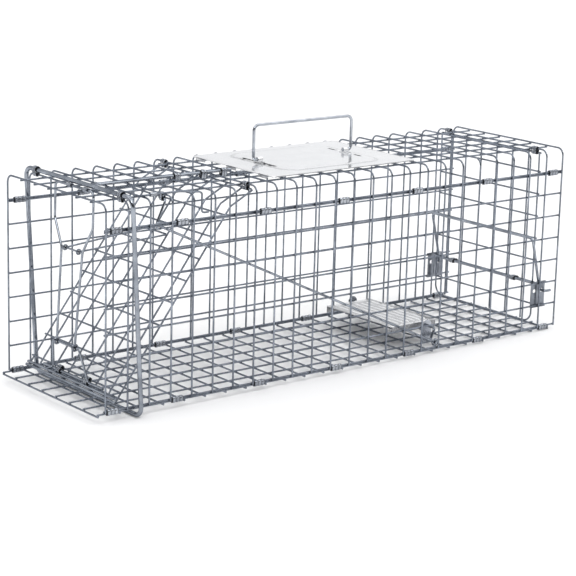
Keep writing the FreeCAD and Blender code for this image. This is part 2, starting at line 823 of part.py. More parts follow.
def round_upright_edges(owner, base, height, radius):
    """Round the corners whose edges stand along Z with one height."""
    doc.recompute()
    names = []
    for index, edge in enumerate(base.Shape.Edges):
        ends = edge.Vertexes
        if len(ends) == 2 and abs(abs(ends[1].Z - ends[0].Z) - height) < height / 100:
            names.append("Edge%d" % (index + 1))
    feature = owner.newObject("PartDesign::Fillet", base.Name + "_round")
    feature.Base = (base, names)
    feature.setExpression("Radius", radius)
    return feature


PLATE_Z = ROOF_Z + WIRE_R + size("plate_rise")
PLATE_TOP = PLATE_Z + size("plate_sheet") + size("panel_rise")
HANDLE_Z = PLATE_TOP + HANDLE_R + RUN_GAP + SHEET


def roof_plate():
    """Guard plate: folded sheet on the roof, its middle pressed up, two slits, side rims and three front lips."""
    plate = body("roof_plate")
    blank = plane_sketch(plate, "plate_blank", "XY_Plane")
    rectangle(blank, "-dims.plate_length / 2", "-dims.plate_width / 2", "dims.plate_length", "dims.plate_width")
    flat = pad(plate, blank, "dims.plate_sheet")
    round_upright_edges(plate, flat, size("plate_sheet"), "dims.plate_corner")

    raised = plane_sketch(plate, "plate_raised", "XY_Plane", "dims.plate_sheet")
    rectangle(
        raised,
        "-dims.plate_length / 2 + dims.panel_end_margin",
        "-dims.plate_width / 2 + dims.panel_margin",
        "dims.plate_length - 2 * dims.panel_end_margin",
        "dims.plate_width - 2 * dims.panel_margin",
    )
    up = pad(plate, raised, "dims.panel_rise")
    round_upright_edges(plate, up, size("panel_rise"), "dims.panel_corner")
    hollow = plane_sketch(plate, "plate_hollow", "XY_Plane")
    end = "(dims.panel_end_margin + dims.plate_sheet)"
    edge = "(dims.panel_margin + dims.plate_sheet)"
    rectangle(
        hollow,
        "-dims.plate_length / 2 + %s" % end,
        "-dims.plate_width / 2 + %s" % edge,
        "dims.plate_length - 2 * %s" % end,
        "dims.plate_width - 2 * %s" % edge,
    )
    pocket(plate, hollow, "dims.panel_rise", True)

    # Each slit lies under the saddle of the handle's foot.
    offset = "(dims.handle_centre_share - dims.plate_centre_share) * dims.pitch"
    reach = "(dims.handle_length / 2 - dims.handle_stub + dims.saddle_length / 2)"
    for index, side in enumerate((-1, 1)):
        slit = plane_sketch(plate, "plate_slit_%d" % (index + 1), "XY_Plane")
        middle = "%s + %d * %s" % (offset, side, reach)
        rectangle(
            slit,
            "%s - dims.slit_width / 2" % middle,
            "-dims.slit_length / 2",
            "dims.slit_width",
            "dims.slit_length",
        )
        pocket(plate, slit, "dims.plate_sheet + dims.panel_rise + dims.overrun", True)

    rims = plane_sketch(plate, "plate_rims", "XY_Plane")
    for low in ("-dims.plate_width / 2", "dims.plate_width / 2 - dims.plate_sheet"):
        rectangle(
            rims,
            "-dims.plate_length / 2 + dims.plate_corner",
            low,
            "dims.plate_length - 2 * dims.plate_corner",
            "dims.plate_sheet",
        )
    pad(plate, rims, "dims.plate_rise", True)

    lips = plane_sketch(plate, "plate_lips", "XY_Plane")
    for middle in ("-dims.plate_width / 2 + dims.panel_margin", "0", "dims.plate_width / 2 - dims.panel_margin"):
        rectangle(
            lips,
            "-dims.plate_length / 2",
            "%s - dims.plate_lip_length / 2" % middle,
            "dims.plate_sheet",
            "dims.plate_lip_length",
        )
    pad(plate, lips, "dims.plate_lip_drop", True)
    plate.Placement = Place(at(cells("plate_centre_share"), MID_Y, PLATE_Z), Turn())
    node(plate)


def carry_handle():
    """Carrying handle: a bent rod whose turned-in feet lie in two saddles on the guard plate."""
    middle = cells("handle_centre_share")
    half = size("handle_length") / 2
    stub = size("handle_stub")
    top = PLATE_TOP + size("handle_height") - HANDLE_R
    side = [(half - stub, HANDLE_Z), (half, HANDLE_Z), (half, top)]
    points = [at(middle - x, MID_Y, z) for x, z in side]
    points += [at(middle + x, MID_Y, z) for x, z in reversed(side)]
    foot = size("handle_foot_bend")
    bend = size("handle_bend")
    node(bent("carry_handle", points, [foot, bend, bend, foot], "dims.handle_wire"))

    tube = named("Part::Cylinder", "saddle_tube")
    tube.setExpression("Radius", "dims.handle_wire / 2 + dims.run_gap + dims.sheet")
    tube.setExpression("Height", "dims.saddle_length")
    tube.Placement = Place(Vec(), along(X_AXIS))
    strap = named("Part::Box", "saddle_strap")
    strap.setExpression("Length", "dims.saddle_length")
    strap.setExpression("Width", "dims.saddle_width")
    strap.setExpression("Height", "dims.sheet")
    strap.setExpression(".Placement.Base.y", "-dims.saddle_width / 2")
    strap.setExpression(".Placement.Base.z", "-dims.handle_wire / 2 - dims.run_gap - dims.sheet")
    space = named("Part::Cylinder", "saddle_space")
    space.setExpression("Radius", "dims.handle_wire / 2 + dims.run_gap")
    space.setExpression("Height", "dims.saddle_length + 2 * dims.overrun")
    space.Placement = Place(Vec(), along(X_AXIS))
    space.setExpression(".Placement.Base.x", "-dims.overrun")
    saddle = cut("handle_saddle", fused("saddle_solid", [tube, strap]), space)
    length = size("saddle_length")
    places = [
        Place(at(middle - half + stub - length, MID_Y, HANDLE_Z), Turn()),
        Place(at(middle + half - stub, MID_Y, HANDLE_Z), Turn()),
    ]
    copies("handle_saddles", saddle, places)


LATCH_FACE = WIRE + size("still_gap")
BAIL_Y = LATCH_FACE + size("latch_sheet") + size("latch_rib_rise") + size("side_gap") + ROD_R


def latch_plate(label, near):
    """Latch plate: sheet on the panel's inner side, folded over two long wires, ribbed, with two holes."""
    plate = body(label)
    web = plane_sketch(plate, label + "_web", "XZ_Plane")
    fold = "(dims.wire / 2 + dims.still_gap)"
    rectangle(
        web,
        "-dims.latch_width / 2",
        "-%s - dims.latch_sheet" % fold,
        "dims.latch_width",
        "dims.pitch + 2 * %s + 2 * dims.latch_sheet" % fold,
    )
    pad(plate, web, "dims.latch_sheet", True)
    folds = plane_sketch(plate, label + "_folds", "XZ_Plane")
    for low in ("-%s - dims.latch_sheet" % fold, "dims.pitch + %s" % fold):
        rectangle(folds, "-dims.latch_width / 2", low, "dims.latch_width", "dims.latch_sheet")
    pad(plate, folds, "2 * %s - dims.still_gap" % fold)
    holes = plane_sketch(plate, label + "_holes", "XZ_Plane", "dims.overrun")
    up = "(dims.latch_pivot_z_share - 1) * dims.pitch"
    for hole in ("latch_front_hole_share", "latch_pivot_x_share"):
        circle(holes, "(dims.%s - dims.latch_x_share) * dims.pitch" % hole, up, "dims.latch_hole / 2")
    pocket(plate, holes, "dims.latch_sheet + 2 * dims.overrun")
    ribs = plane_sketch(plate, label + "_ribs", "XZ_Plane", "-dims.latch_sheet")
    for step in (-1, 0, 1):
        rectangle(
            ribs,
            "%d * dims.latch_width / 3 - dims.latch_rib_width / 2" % step,
            "dims.latch_lip",
            "dims.latch_rib_width",
            "%s - dims.latch_hole / 2 - 2 * dims.latch_lip" % up,
        )
    pad(plate, ribs, "dims.latch_rib_rise", True)
    x = cells("latch_x_share")
    if near:
        plate.Placement = Place(at(x, LATCH_FACE, PITCH), Turn())
        return node(plate)
    flip = named("Part::Mirroring", label + "_flipped")
    flip.Source = plate
    flip.Base = Vec()
    flip.Normal = Y_AXIS
    flip.Label = "far_latch_plate"
    flip.Placement = Place(at(x, CAGE_WIDTH - LATCH_FACE, PITCH), Turn())
    return node(flip)


def rear_bail():
    """Rear bail: a wire that turns in the two latch plates, its hooked ends outside, its bar inside the door."""
    x = cells("latch_pivot_x_share")
    z = cells("latch_pivot_z_share")
    out = -(WIRE + ROD_R + size("side_gap"))
    half = [
        (x + size("bail_hook"), out, z),
        (x, out, z),
        (x, BAIL_Y, z),
        (cells("bail_top_x_share"), BAIL_Y, cells("bail_top_z_share")),
    ]
    points = [at(*spot) for spot in half]
    points += [mirrored(point) for point in reversed(points)]
    bend = size("bail_bend")
    wide = size("link_bend")
    node(bent("rear_bail", points, [bend, bend, wide, wide, bend, bend], "dims.rod_wire"))


# Treadle and trigger
AXLE = Vec(cells("pan_front_share") + size("pan_length") - size("axle_setback"), 0, size("axle_height"))
CATCH_PIVOT = Vec(cells("catch_x_share"), 0, HINGE_Z)


def trigger_line():
    """The trigger rod's two ends: its line is square to both the crank arm and the catch arm."""
    run = AXLE - CATCH_PIVOT
    lean = math.asin((size("catch_arm") - size("crank_arm")) / run.Length)
    turn = Turn(Y_AXIS, -math.degrees(lean))
    rod = turn.multVec(run).normalize()
    arm = Vec(rod.z, 0, -rod.x)
    return CATCH_PIVOT + arm * size("catch_arm"), AXLE + arm * size("crank_arm")


ROD_TOP, ROD_FOOT = trigger_line()


def treadle():
    """Treadle: a ribbed pan with a skirt on an axle that turns in two brackets, its end bent into a crank."""
    pan = body("treadle_pan")
    half = "dims.pan_width / 2"
    top = plane_sketch(pan, "pan_top", "XY_Plane")
    rectangle(top, "0", "-" + half, "dims.pan_length", "dims.pan_width")
    pad(pan, top, "dims.plate_sheet")
    skirts = plane_sketch(pan, "pan_skirts", "XY_Plane")
    for low in ("-" + half, half + " - dims.plate_sheet"):
        rectangle(skirts, "0", low, "dims.pan_length", "dims.plate_sheet")
    pad(pan, skirts, "dims.pan_skirt", True)
    ribs = plane_sketch(pan, "pan_ribs", "XY_Plane", "dims.plate_sheet")
    steps = count("pan_ribs")
    for index in range(steps):
        share = (index + 1) / (steps + 1)
        rectangle(
            ribs,
            "%.6f * dims.pan_length - dims.pan_rib_width / 2" % share,
            "-%s + dims.pan_skirt" % half,
            "dims.pan_rib_width",
            "dims.pan_width - 2 * dims.pan_skirt",
        )
    pad(pan, ribs, "dims.pan_rib_rise")
    hole = plane_sketch(pan, "pan_axle_hole", "XZ_Plane", "%s + dims.overrun" % half)
    circle(hole, "dims.pan_length - dims.axle_setback", "-dims.rod_wire / 2", "dims.rod_wire / 2")
    pocket(pan, hole, "dims.pan_width + 2 * dims.overrun")
    pan.Placement = Place(at(cells("pan_front_share"), MID_Y, AXLE.z + ROD_R), Turn())
    node(pan)

    near_y = cells("bracket_y_share")
    crank_y = cells("crank_y_share")
    stub_end = WIRE + size("side_gap")
    points = [
        beside(AXLE, CAGE_WIDTH - near_y + size("bracket_sheet") + size("overrun")),
        beside(AXLE, crank_y),
        beside(ROD_FOOT, crank_y),
        beside(ROD_FOOT, stub_end),
    ]
    node(bent("treadle_axle", points, size("axle_bend"), "dims.rod_wire"))

    plate = named("Part::Box", "bracket_plate")
    plate.setExpression("Length", "dims.bracket_width")
    plate.setExpression("Width", "dims.bracket_sheet")
    plate.setExpression("Height", "dims.axle_height + dims.wire / 2")
    plate.setExpression(".Placement.Base.x", "-dims.bracket_width / 2")
    plate.setExpression(".Placement.Base.z", "-dims.axle_height - dims.wire / 2")
    crown = named("Part::Cylinder", "bracket_crown")
    crown.setExpression("Radius", "dims.bracket_width / 2")
    crown.setExpression("Height", "dims.bracket_sheet")
    crown.Placement = Place(Vec(), along(Y_AXIS))
    bore = named("Part::Cylinder", "bracket_bore")
    bore.setExpression("Radius", "dims.rod_wire / 2 + dims.run_gap")
    bore.setExpression("Height", "dims.bracket_sheet + 2 * dims.overrun")
    bore.Placement = Place(Vec(), along(Y_AXIS))
    bore.setExpression(".Placement.Base.y", "-dims.overrun")
    bracket = cut("treadle_bracket", fused("bracket_solid", [plate, crown]), bore)
    half_sheet = size("bracket_sheet") / 2
    places = [
        Place(at(AXLE.x, y - half_sheet, AXLE.z), Turn()) for y in (near_y, CAGE_WIDTH - near_y)
    ]
    copies("treadle_brackets", bracket, places)


def trigger():
    """Trigger: a long rod from the crank up to a catch that turns under a roof cross wire."""
    y = cells("rod_y_share")
    line = (ROD_FOOT - ROD_TOP).normalize()
    crank_bore = "(dims.rod_wire / 2 + dims.eye_gap)"
    catch_bore = "(dims.lock_wire / 2 + dims.eye_gap)"
    crank_eye_r = ROD_R + size("eye_gap") + LOCK_R
    catch_eye_r = LOCK_R + size("eye_gap") + LOCK_R
    start = ROD_TOP + line * catch_eye_r
    length = (ROD_FOOT - ROD_TOP).Length - crank_eye_r - catch_eye_r
    shaft = straight("trigger_rod_shaft", beside(start, y), line, "%.6f" % length, "dims.lock_wire")
    eyes = [
        eye("trigger_rod_top_eye", beside(ROD_TOP, y), catch_bore, "dims.lock_wire"),
        eye("trigger_rod_foot_eye", beside(ROD_FOOT, y), crank_bore, "dims.lock_wire"),
    ]
    node(fused("trigger_rod", [shaft] + eyes))

    arm_y = cells("catch_arm_y_share")
    stub_end = WIRE + size("side_gap")
    points = [
        beside(CATCH_PIVOT, cells("catch_inner_share")),
        beside(CATCH_PIVOT, arm_y),
        beside(ROD_TOP, arm_y),
        beside(ROD_TOP, stub_end),
    ]
    node(bent("trigger_catch", points, size("axle_bend"), "dims.lock_wire"))
    bore = "(dims.lock_wire / 2 + dims.run_gap)"
    ring = sleeve("catch_sleeve_master", bore, HINGE_DROP_TEXT, "dims.catch_clip_length")
    middle = beside(CATCH_PIVOT, cells("catch_sleeve_share"))
    place = sleeve_place(middle, Y_AXIS, Z_AXIS, size("catch_clip_length"))
    copies("catch_sleeve", ring, [place])


def catch_hook():
    """Set hook: a wire on the roof's near edge, held in a rolled sleeve, turned down outside the flange."""
    y = cells("catch_hook_y_share")
    z = ROOF_Z + WIRE
    outside = -(WIRE + WIRE_R)
    x = cells("catch_hook_x_share")
    points = [
        at(cells("catch_hook_start_share"), y, z),
        at(cells("catch_hook_turn_share"), y, z),
        at(x, outside, z),
        at(x, outside, cells("catch_hook_z_share")),
        at(x + size("hook_size"), outside, cells("catch_hook_z_share")),
    ]
    node(bent("catch_hook", points, size("catch_bend")))
    tube = named("Part::Cylinder", "hook_sleeve_outer")
    tube.setExpression("Radius", "dims.wire / 2 + dims.still_gap + dims.sheet")
    tube.setExpression("Height", "dims.clip_length")
    tube.Placement = Place(Vec(), along(X_AXIS))
    space = named("Part::Cylinder", "hook_sleeve_space")
    space.setExpression("Radius", "dims.wire / 2 + dims.still_gap")
    space.setExpression("Height", "dims.clip_length + 2 * dims.overrun")
    space.Placement = Place(Vec(), along(X_AXIS))
    space.setExpression(".Placement.Base.x", "-dims.overrun")
    ring = cut("hook_sleeve", tube, space)
    start = cells("catch_hook_sleeve_share") - size("clip_length") / 2
    copies("catch_hook_sleeve", ring, [Place(at(start, y, z), Turn())])


def check_objects():
    """Stop when an object failed to build or a sub-part has no sound shape."""
    for item in doc.Objects:
        if "Invalid" in item.State or "Error" in item.State:
            raise RuntimeError("%s is %s" % (item.Label, item.State))
    for label, item in NODES.items():
        if item.Shape.isNull() or not item.Shape.isValid() or not item.Shape.Solids:
            raise RuntimeError(label + " has no sound shape")


def write_parts():
    """Write each sub-part to a file of its own name."""
    os.makedirs("parts", exist_ok=True)
    for label, item in NODES.items():
        item.Shape.exportStep("parts/%s.step" % label)
        print("%-28s %3d solids %12.1f mm3" % (label, len(item.Shape.Solids), item.Shape.Volume))


floor_panel()
side_panel("near_side_panel", 0, -1)
side_panel("far_side_panel", CAGE_WIDTH, 1)
roof_panel()
edge_sleeves()
roof_rod()
front_door()
door_sleeve = cells("hinge_sleeve_share")
hinge_sleeves("front_door_hinge_sleeves", FRONT_HINGE.x, (door_sleeve, MID_Y, CAGE_WIDTH - door_sleeve))
rear_door()
hinge_sleeves("rear_door_hinge_sleeves", cells("rear_hinge_share"), (door_sleeve, CAGE_WIDTH - door_sleeve))
front_hoop()
lock_yoke()
lock_link()
yoke_tie()
roof_plate()
carry_handle()
latch_plate("near_latch_plate", True)
latch_plate("far_latch_blank", False)
rear_bail()
treadle()
trigger()
catch_hook()
doc.recompute()
check_objects()
write_parts()
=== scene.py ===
"""Looks of a live animal cage trap: zinc-coated wire and rods, crimped sleeves, a guard plate."""

import logging
import math
import random
from dataclasses import dataclass, field
from enum import Enum
from typing import Iterable

import bmesh
import bpy
from mathutils import Matrix, Vector


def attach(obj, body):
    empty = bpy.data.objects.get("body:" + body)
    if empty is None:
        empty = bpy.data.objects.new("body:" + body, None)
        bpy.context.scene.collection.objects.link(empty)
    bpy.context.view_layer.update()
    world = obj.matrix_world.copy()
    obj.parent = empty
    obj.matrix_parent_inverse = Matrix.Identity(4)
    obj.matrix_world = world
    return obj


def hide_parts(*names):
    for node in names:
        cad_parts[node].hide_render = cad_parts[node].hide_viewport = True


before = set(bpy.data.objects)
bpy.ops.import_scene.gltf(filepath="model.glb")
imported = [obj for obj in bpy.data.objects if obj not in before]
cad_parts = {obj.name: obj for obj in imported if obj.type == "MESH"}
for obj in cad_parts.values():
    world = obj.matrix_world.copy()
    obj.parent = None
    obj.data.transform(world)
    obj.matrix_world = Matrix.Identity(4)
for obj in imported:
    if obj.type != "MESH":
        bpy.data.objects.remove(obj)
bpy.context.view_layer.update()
LOG = logging.getLogger("cage_trap")
MILLI = 0.001
TINY = 0.01 * MILLI
CUT_SNAP = 0.001 * MILLI
SHEET_ANGLE = 50.0
X_AXIS = Vector((1.0, 0.0, 0.0))
Y_AXIS = Vector((0.0, 1.0, 0.0))
Z_AXIS = Vector((0.0, 0.0, 1.0))
BOTH_WAYS = (-1, 1)
FULL = (0.0, 1.0)
# Layer of painted shade: darkening painted into crimps, sleeve ends, troughs, folds and valleys.
PAINTED_SHADE_LAYER = "painted_shade"

Pair = tuple[float, float]
Triple = tuple[float, float, float]
Socket = bpy.types.NodeSocket
Colour = Triple | Socket
Piece = bpy.types.Object
Mesh = bmesh.types.BMesh
Vert = bmesh.types.BMVert
Edge = bmesh.types.BMEdge
Paint = bmesh.types.BMLayerItem
Weld = tuple[Vector, Vector]


class Slot(Enum):
    """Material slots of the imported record."""

    MESH_WIRE = "mesh_wire"
    BENT_ROD = "bent_rod"
    ROLLED_SHEET = "rolled_sheet"
    PRESSED_SHEET = "pressed_sheet"


class Side(Enum):
    """Which way the open seam of a rolled sleeve faces."""

    LEFT = -1
    RIGHT = 1


class Join(Enum):
    """How two shader values are put together."""

    SUM = "ADD"
    PRODUCT = "MULTIPLY"


@dataclass(frozen=True)
class CageGrid:
    """Places along the welded mesh, from the front uprights, the near side and the sides' foot."""

    pitch: float = 25.4 * MILLI
    wire: float = 1.9 * MILLI
    rod_wire: float = 3.0 * MILLI
    lock_wire: float = 2.5 * MILLI
    hoop_wire: float = 4.6 * MILLI
    sheet: float = 0.9 * MILLI
    run_gap: float = 0.35 * MILLI
    still_gap: float = 0.2 * MILLI
    side_gap: float = 0.4 * MILLI
    door_hem: float = 3.6 * MILLI
    hoop_rise: float = 4.7 * MILLI
    long_cells: int = 24
    wide_cells: int = 7
    side_cells: int = 7
    roof_cells: int = 8
    rear_door_cells: int = 23
    floor_shift_cells: float = 0.3
    door_edge_cells: float = 0.35
    hoop_foot_cells: float = 0.35

    @property
    def wire_r(self) -> float:
        """Radius of the mesh wire."""
        return self.wire / 2

    @property
    def rod_r(self) -> float:
        """Radius of the thick rods."""
        return self.rod_wire / 2

    @property
    def rod_reach(self) -> float:
        """Distance of a clipped rod from the mesh's farther wires."""
        return self.rod_r + 1.5 * self.wire

    @property
    def length(self) -> float:
        """Length between the first and the last uprights."""
        return self.long_cells * self.pitch

    @property
    def width(self) -> float:
        """Width between the two sides' weld planes."""
        return self.wide_cells * self.pitch

    @property
    def roof_z(self) -> float:
        """Height of the roof's cross wires over the sides' foot."""
        return self.roof_cells * self.pitch

    @property
    def rail_z(self) -> float:
        """Height of the wire that closes the roof's flange."""
        return self.side_cells * self.pitch

    @property
    def floor_weld_z(self) -> float:
        """Height of the floor's weld plane."""
        return -1.5 * self.wire

    @property
    def rear_door_x(self) -> float:
        """Distance of the rear door's cross wires behind the front."""
        return self.rear_door_cells * self.pitch

    @property
    def floor_shift(self) -> float:
        """How far the floor stands forward of the sides."""
        return self.floor_shift_cells * self.pitch

    @property
    def hinge_drop(self) -> float:
        """Distance of a door's top wire under the roof's cross wires."""
        return 2 * self.wire + self.side_gap

    @property
    def hinge_z(self) -> float:
        """Height of both doors' top wires."""
        return self.roof_z - self.hinge_drop

    @property
    def door_rows(self) -> list[float]:
        """Distances of the doors' long wires from the near side.

        Returns:
            The distances.
        """
        edge = self.door_edge_cells * self.pitch
        inner = [step * self.pitch for step in range(1, self.wide_cells)]
        return [edge] + inner + [self.width - edge]

    def run(self, cells: Iterable[float]) -> list[float]:
        """Distances from counts of cells."""
        return [count * self.pitch for count in cells]

    def at(self, x: float, y: float, z: float) -> Vector:
        """A point of the object's frame.

        Args:
            x: distance behind the front uprights.
            y: distance from the near side.
            z: height over the sides' lowest wire.

        Returns:
            The point in the object's frame.
        """
        back = (self.length - self.floor_shift) / 2
        foot = self.hoop_wire / 2 + self.hoop_foot_cells * self.pitch
        return Vector((x, y, z)) + Vector((-back, -self.width / 2, foot))


GRID = CageGrid()


@dataclass(frozen=True)
class DoorSlope:
    """The front door's section: hinge, bend and foot, behind the front and over the sides' foot."""

    grid: CageGrid = GRID
    hinge_cells: float = 7.0
    bend_cells: Pair = (5.95, 7.3)
    foot_cells: Pair = (0.62, 0.2)
    lock_cells: float = 0.3

    @property
    def hinge(self) -> Vector:
        """The top wire."""
        return Vector((self.hinge_cells * self.grid.pitch, 0.0, self.grid.hinge_z))

    @property
    def elbow(self) -> Vector:
        """The bend under the hinge."""
        return Vector((self.bend_cells[0], 0.0, self.bend_cells[1])) * self.grid.pitch

    @property
    def foot(self) -> Vector:
        """The lower edge."""
        return Vector((self.foot_cells[0], 0.0, self.foot_cells[1])) * self.grid.pitch

    @property
    def down(self) -> Vector:
        """Direction down the slope."""
        return (self.foot - self.elbow).normalized()

    @property
    def out(self) -> Vector:
        """Direction away from the door's outer face."""
        side = self.down.cross(Y_AXIS)
        return side if side.z > 0 else -side

    @property
    def upper_out(self) -> Vector:
        """The same for the short run between the hinge and the bend."""
        run = (self.elbow - self.hinge).normalized()
        return Vector((run.z, 0.0, -run.x))

    @property
    def lock_spot(self) -> Vector:
        """The lock's cross rod."""
        lift = self.out * (self.grid.rod_r - self.grid.wire_r)
        return self.foot + lift - self.down * (self.lock_cells * self.grid.pitch)

    def cross_wires(self) -> list[Weld]:
        """Each cross wire of the door.

        Returns:
            Pairs of a point of the section and the outward direction there.
        """
        spots = [(self.hinge, self.upper_out)]
        rise = self.lock_cells * self.grid.pitch + self.grid.door_hem
        slope = (self.foot - self.elbow).length
        while rise < slope:
            spots.append((self.foot - self.down * rise, self.out))
            rise += self.grid.pitch
        return spots


DOOR = DoorSlope()


class NodeGraph:
    """A short way to lay out shader nodes in the tree of a material or of the world."""

    def __init__(self, tree: bpy.types.NodeTree) -> None:
        """Start with an empty tree."""
        self.tree = tree
        self.tree.nodes.clear()

    def link(self, start: Socket, end: Socket) -> None:
        """Join two sockets."""
        self.tree.links.new(start, end)

    def spread(
        self, value: Socket, span: Pair = FULL, levels: Pair = FULL, smooth: bool = False
    ) -> Socket:
        """Stretch part of a value's range over a new one, clamped.

        Args:
            value: the value to stretch.
            span: the values that become the first and the second level.
            levels: results at the two ends of the span.
            smooth: whether the change eases in and out.

        Returns:
            The new value.
        """
        node = self.tree.nodes.new("ShaderNodeMapRange")
        if smooth:
            node.interpolation_type = "SMOOTHSTEP"
        for name, number in zip(("From Min", "From Max", "To Min", "To Max"), (*span, *levels)):
            node.inputs[name].default_value = number
        self.link(value, node.inputs["Value"])
        return node.outputs["Result"]

    def joined(self, first: Socket, second: Socket, join: Join = Join.SUM) -> Socket:
        """Two values put together.

        Args:
            first: one value.
            second: the other value.
            join: how they are put together.

        Returns:
            The result.
        """
        node = self.tree.nodes.new("ShaderNodeMath")
        node.operation = join.value
        self.link(first, node.inputs[0])
        self.link(second, node.inputs[1])
        return node.outputs["Value"]


class NodeBoard(NodeGraph):
    """The nodes of one material, around a single principled shader."""

    def __init__(self, name: str) -> None:
        """Start the material.

        Args:
            name: name of the material.
        """
        self.material = bpy.data.materials.new(name)
        self.material.use_nodes = True
        super().__init__(self.material.node_tree)
        output = self.tree.nodes.new("ShaderNodeOutputMaterial")
        self.shader = self.tree.nodes.new("ShaderNodeBsdfPrincipled")
        self.link(self.shader.outputs["BSDF"], output.inputs["Surface"])
        self.place = self.tree.nodes.new("ShaderNodeTexCoord").outputs["Object"]

    def stretched(self, scale: Triple) -> Socket:
        """Object coordinates with a scale of their own along each axis.

        Args:
            scale: factor along X, Y and Z.

        Returns:
            The stretched coordinates.
        """
        node = self.tree.nodes.new("ShaderNodeMapping")
        node.inputs["Scale"].default_value = scale
        self.link(self.place, node.inputs["Vector"])
        return node.outputs["Vector"]

    def noise(self, grain: Triple, source: Socket | None = None) -> Socket:
        """Cloudy noise from 0 to 1.

        Args:
            grain: features in one metre, number of finer layers and their strength.
            source: coordinates, or the object's own.

        Returns:
            The noise value.
        """
        node = self.tree.nodes.new("ShaderNodeTexNoise")
        for name, number in zip(("Scale", "Detail", "Roughness"), grain):
            node.inputs[name].default_value = number
        self.link(source or self.place, node.inputs["Vector"])
        return node.outputs["Fac"]

    def flakes(self, scale: float) -> Socket:
        """Zinc crystals: one grey value for each cell.

        Args:
            scale: crystals in one metre.

        Returns:
            The value of each crystal.
        """
        node = self.tree.nodes.new("ShaderNodeTexVoronoi")
        node.feature = "F1"
        node.inputs["Scale"].default_value = scale
        self.link(self.place, node.inputs["Vector"])
        split = self.tree.nodes.new("ShaderNodeSeparateColor")
        self.link(node.outputs["Color"], split.inputs["Color"])
        return split.outputs["Red"]

    def painted(self, name: str) -> Socket:
        """A value painted on the piece's points.

        Args:
            name: name of the painted layer.

        Returns:
            The value.
        """
        node = self.tree.nodes.new("ShaderNodeAttribute")
        node.attribute_name = name
        return node.outputs["Fac"]

    def tinted(self, factor: Socket, first: Colour, second: Colour) -> Socket:
        """A colour between two.

        Args:
            factor: share of the second colour.
            first: a colour, or the socket of one.
            second: a colour, or the socket of one.

        Returns:
            The mixed colour.
        """
        node = self.tree.nodes.new("ShaderNodeMix")
        node.data_type = "RGBA"
        self.link(factor, node.inputs["Factor"])
        for socket, colour in ((node.inputs[6], first), (node.inputs[7], second)):
            if isinstance(colour, bpy.types.NodeSocket):
                self.link(colour, socket)
            else:
                socket.default_value = (*colour, 1.0)
        return node.outputs[2]

    def relief(self, height: Socket, strength: float, depth: float) -> None:
        """Fine relief on the shader.

        Args:
            height: height from 0 to 1.
            strength: strength of the relief.
            depth: depth of the relief in metres.
        """
        node = self.tree.nodes.new("ShaderNodeBump")
        node.inputs["Strength"].default_value = strength
        node.inputs["Distance"].default_value = depth
        self.link(height, node.inputs["Height"])
        self.link(node.outputs["Normal"], self.shader.inputs["Normal"])


@dataclass(frozen=True)
class CoatPattern:
    """Grains, spans and strengths that all the zinc finishes share."""

    cloud: Triple = (46.0, 4.0, 0.55)
    fine: Triple = (900.0, 3.0, 0.6)
    streak: Triple = (1.0, 3.0, 0.6)
    speck: Triple = (310.0, 5.0, 0.65)
    cloud_span: Pair = (0.32, 0.68)
    middle_span: Pair = (0.3, 0.7)
    streak_span: Pair = (0.45, 0.7)
    speck_fade: float = 0.08
    fine_rough: Pair = (-0.05, 0.06)
    speck_rough: Pair = (0.0, 0.22)
    # Roughness added where shade is painted.
    painted_shade_rough: Pair = (0.0, 0.3)
    fine_height: Pair = (0.0, 0.7)
    streak_height: Pair = (0.0, 0.6)
    relief_depth: float = 0.1 * MILLI


COAT = CoatPattern()


@dataclass(frozen=True)
class ZincFinish:
    """A zinc-coated steel surface: cloudy coat, crystals, streaks, dull specks, and painted shade
    that darkens the points a piece marks.
    """

    name: str
    bright: Triple
    dull: Triple
    stain: Triple
    rough: Pair
    crystal_scale: float
    crystal_share: float
    streaks: Triple
    streak_share: float
    speck_start: float
    relief_strength: float
    metal: float = 1.0
    rim: Triple = (0.30, 0.32, 0.36)
    has_painted_shade: bool = False
    # Near-black tint of the painted shade.
    painted_shade_tint: Triple = (0.03, 0.032, 0.036)

    def material(self) -> bpy.types.Material:
        """Build the material.

        Returns:
            The new material.
        """
        board = NodeBoard(self.name)
        cloud = board.noise(COAT.cloud)
        fine = board.noise(COAT.fine)
        streak = board.noise(COAT.streak, board.stretched(self.streaks))
        speck_span = (self.speck_start, self.speck_start + COAT.speck_fade)
        speck = board.spread(board.noise(COAT.speck), speck_span)
        crystal = board.spread(board.flakes(self.crystal_scale), FULL, (0.0, self.crystal_share))
        streak_tone = board.spread(streak, COAT.streak_span, (0.0, self.streak_share))
        colour = board.tinted(board.spread(cloud, COAT.cloud_span), self.dull, self.bright)
        for share in (crystal, streak_tone, speck):
            colour = board.tinted(share, colour, self.stain)
        rough = board.spread(cloud, COAT.middle_span, (self.rough[1], self.rough[0]))
        rough = board.joined(rough, board.spread(fine, COAT.middle_span, COAT.fine_rough))
        rough = board.joined(rough, board.spread(speck, FULL, COAT.speck_rough))
        # Painted shade: marked points are pulled towards the near-black tint and made rougher.
        if self.has_painted_shade:
            painted_shade = board.painted(PAINTED_SHADE_LAYER)
            colour = board.tinted(painted_shade, colour, self.painted_shade_tint)
            rough = board.joined(rough, board.spread(painted_shade, FULL, COAT.painted_shade_rough))
        height = board.joined(
            board.spread(fine, FULL, COAT.fine_height),
            board.spread(streak, FULL, COAT.streak_height),
        )
        board.link(colour, board.shader.inputs["Base Color"])
        board.link(rough, board.shader.inputs["Roughness"])
        board.shader.inputs["Metallic"].default_value = self.metal
        board.shader.inputs["Specular Tint"].default_value = (*self.rim, 1.0)
        board.relief(height, self.relief_strength, COAT.relief_depth)
        return board.material


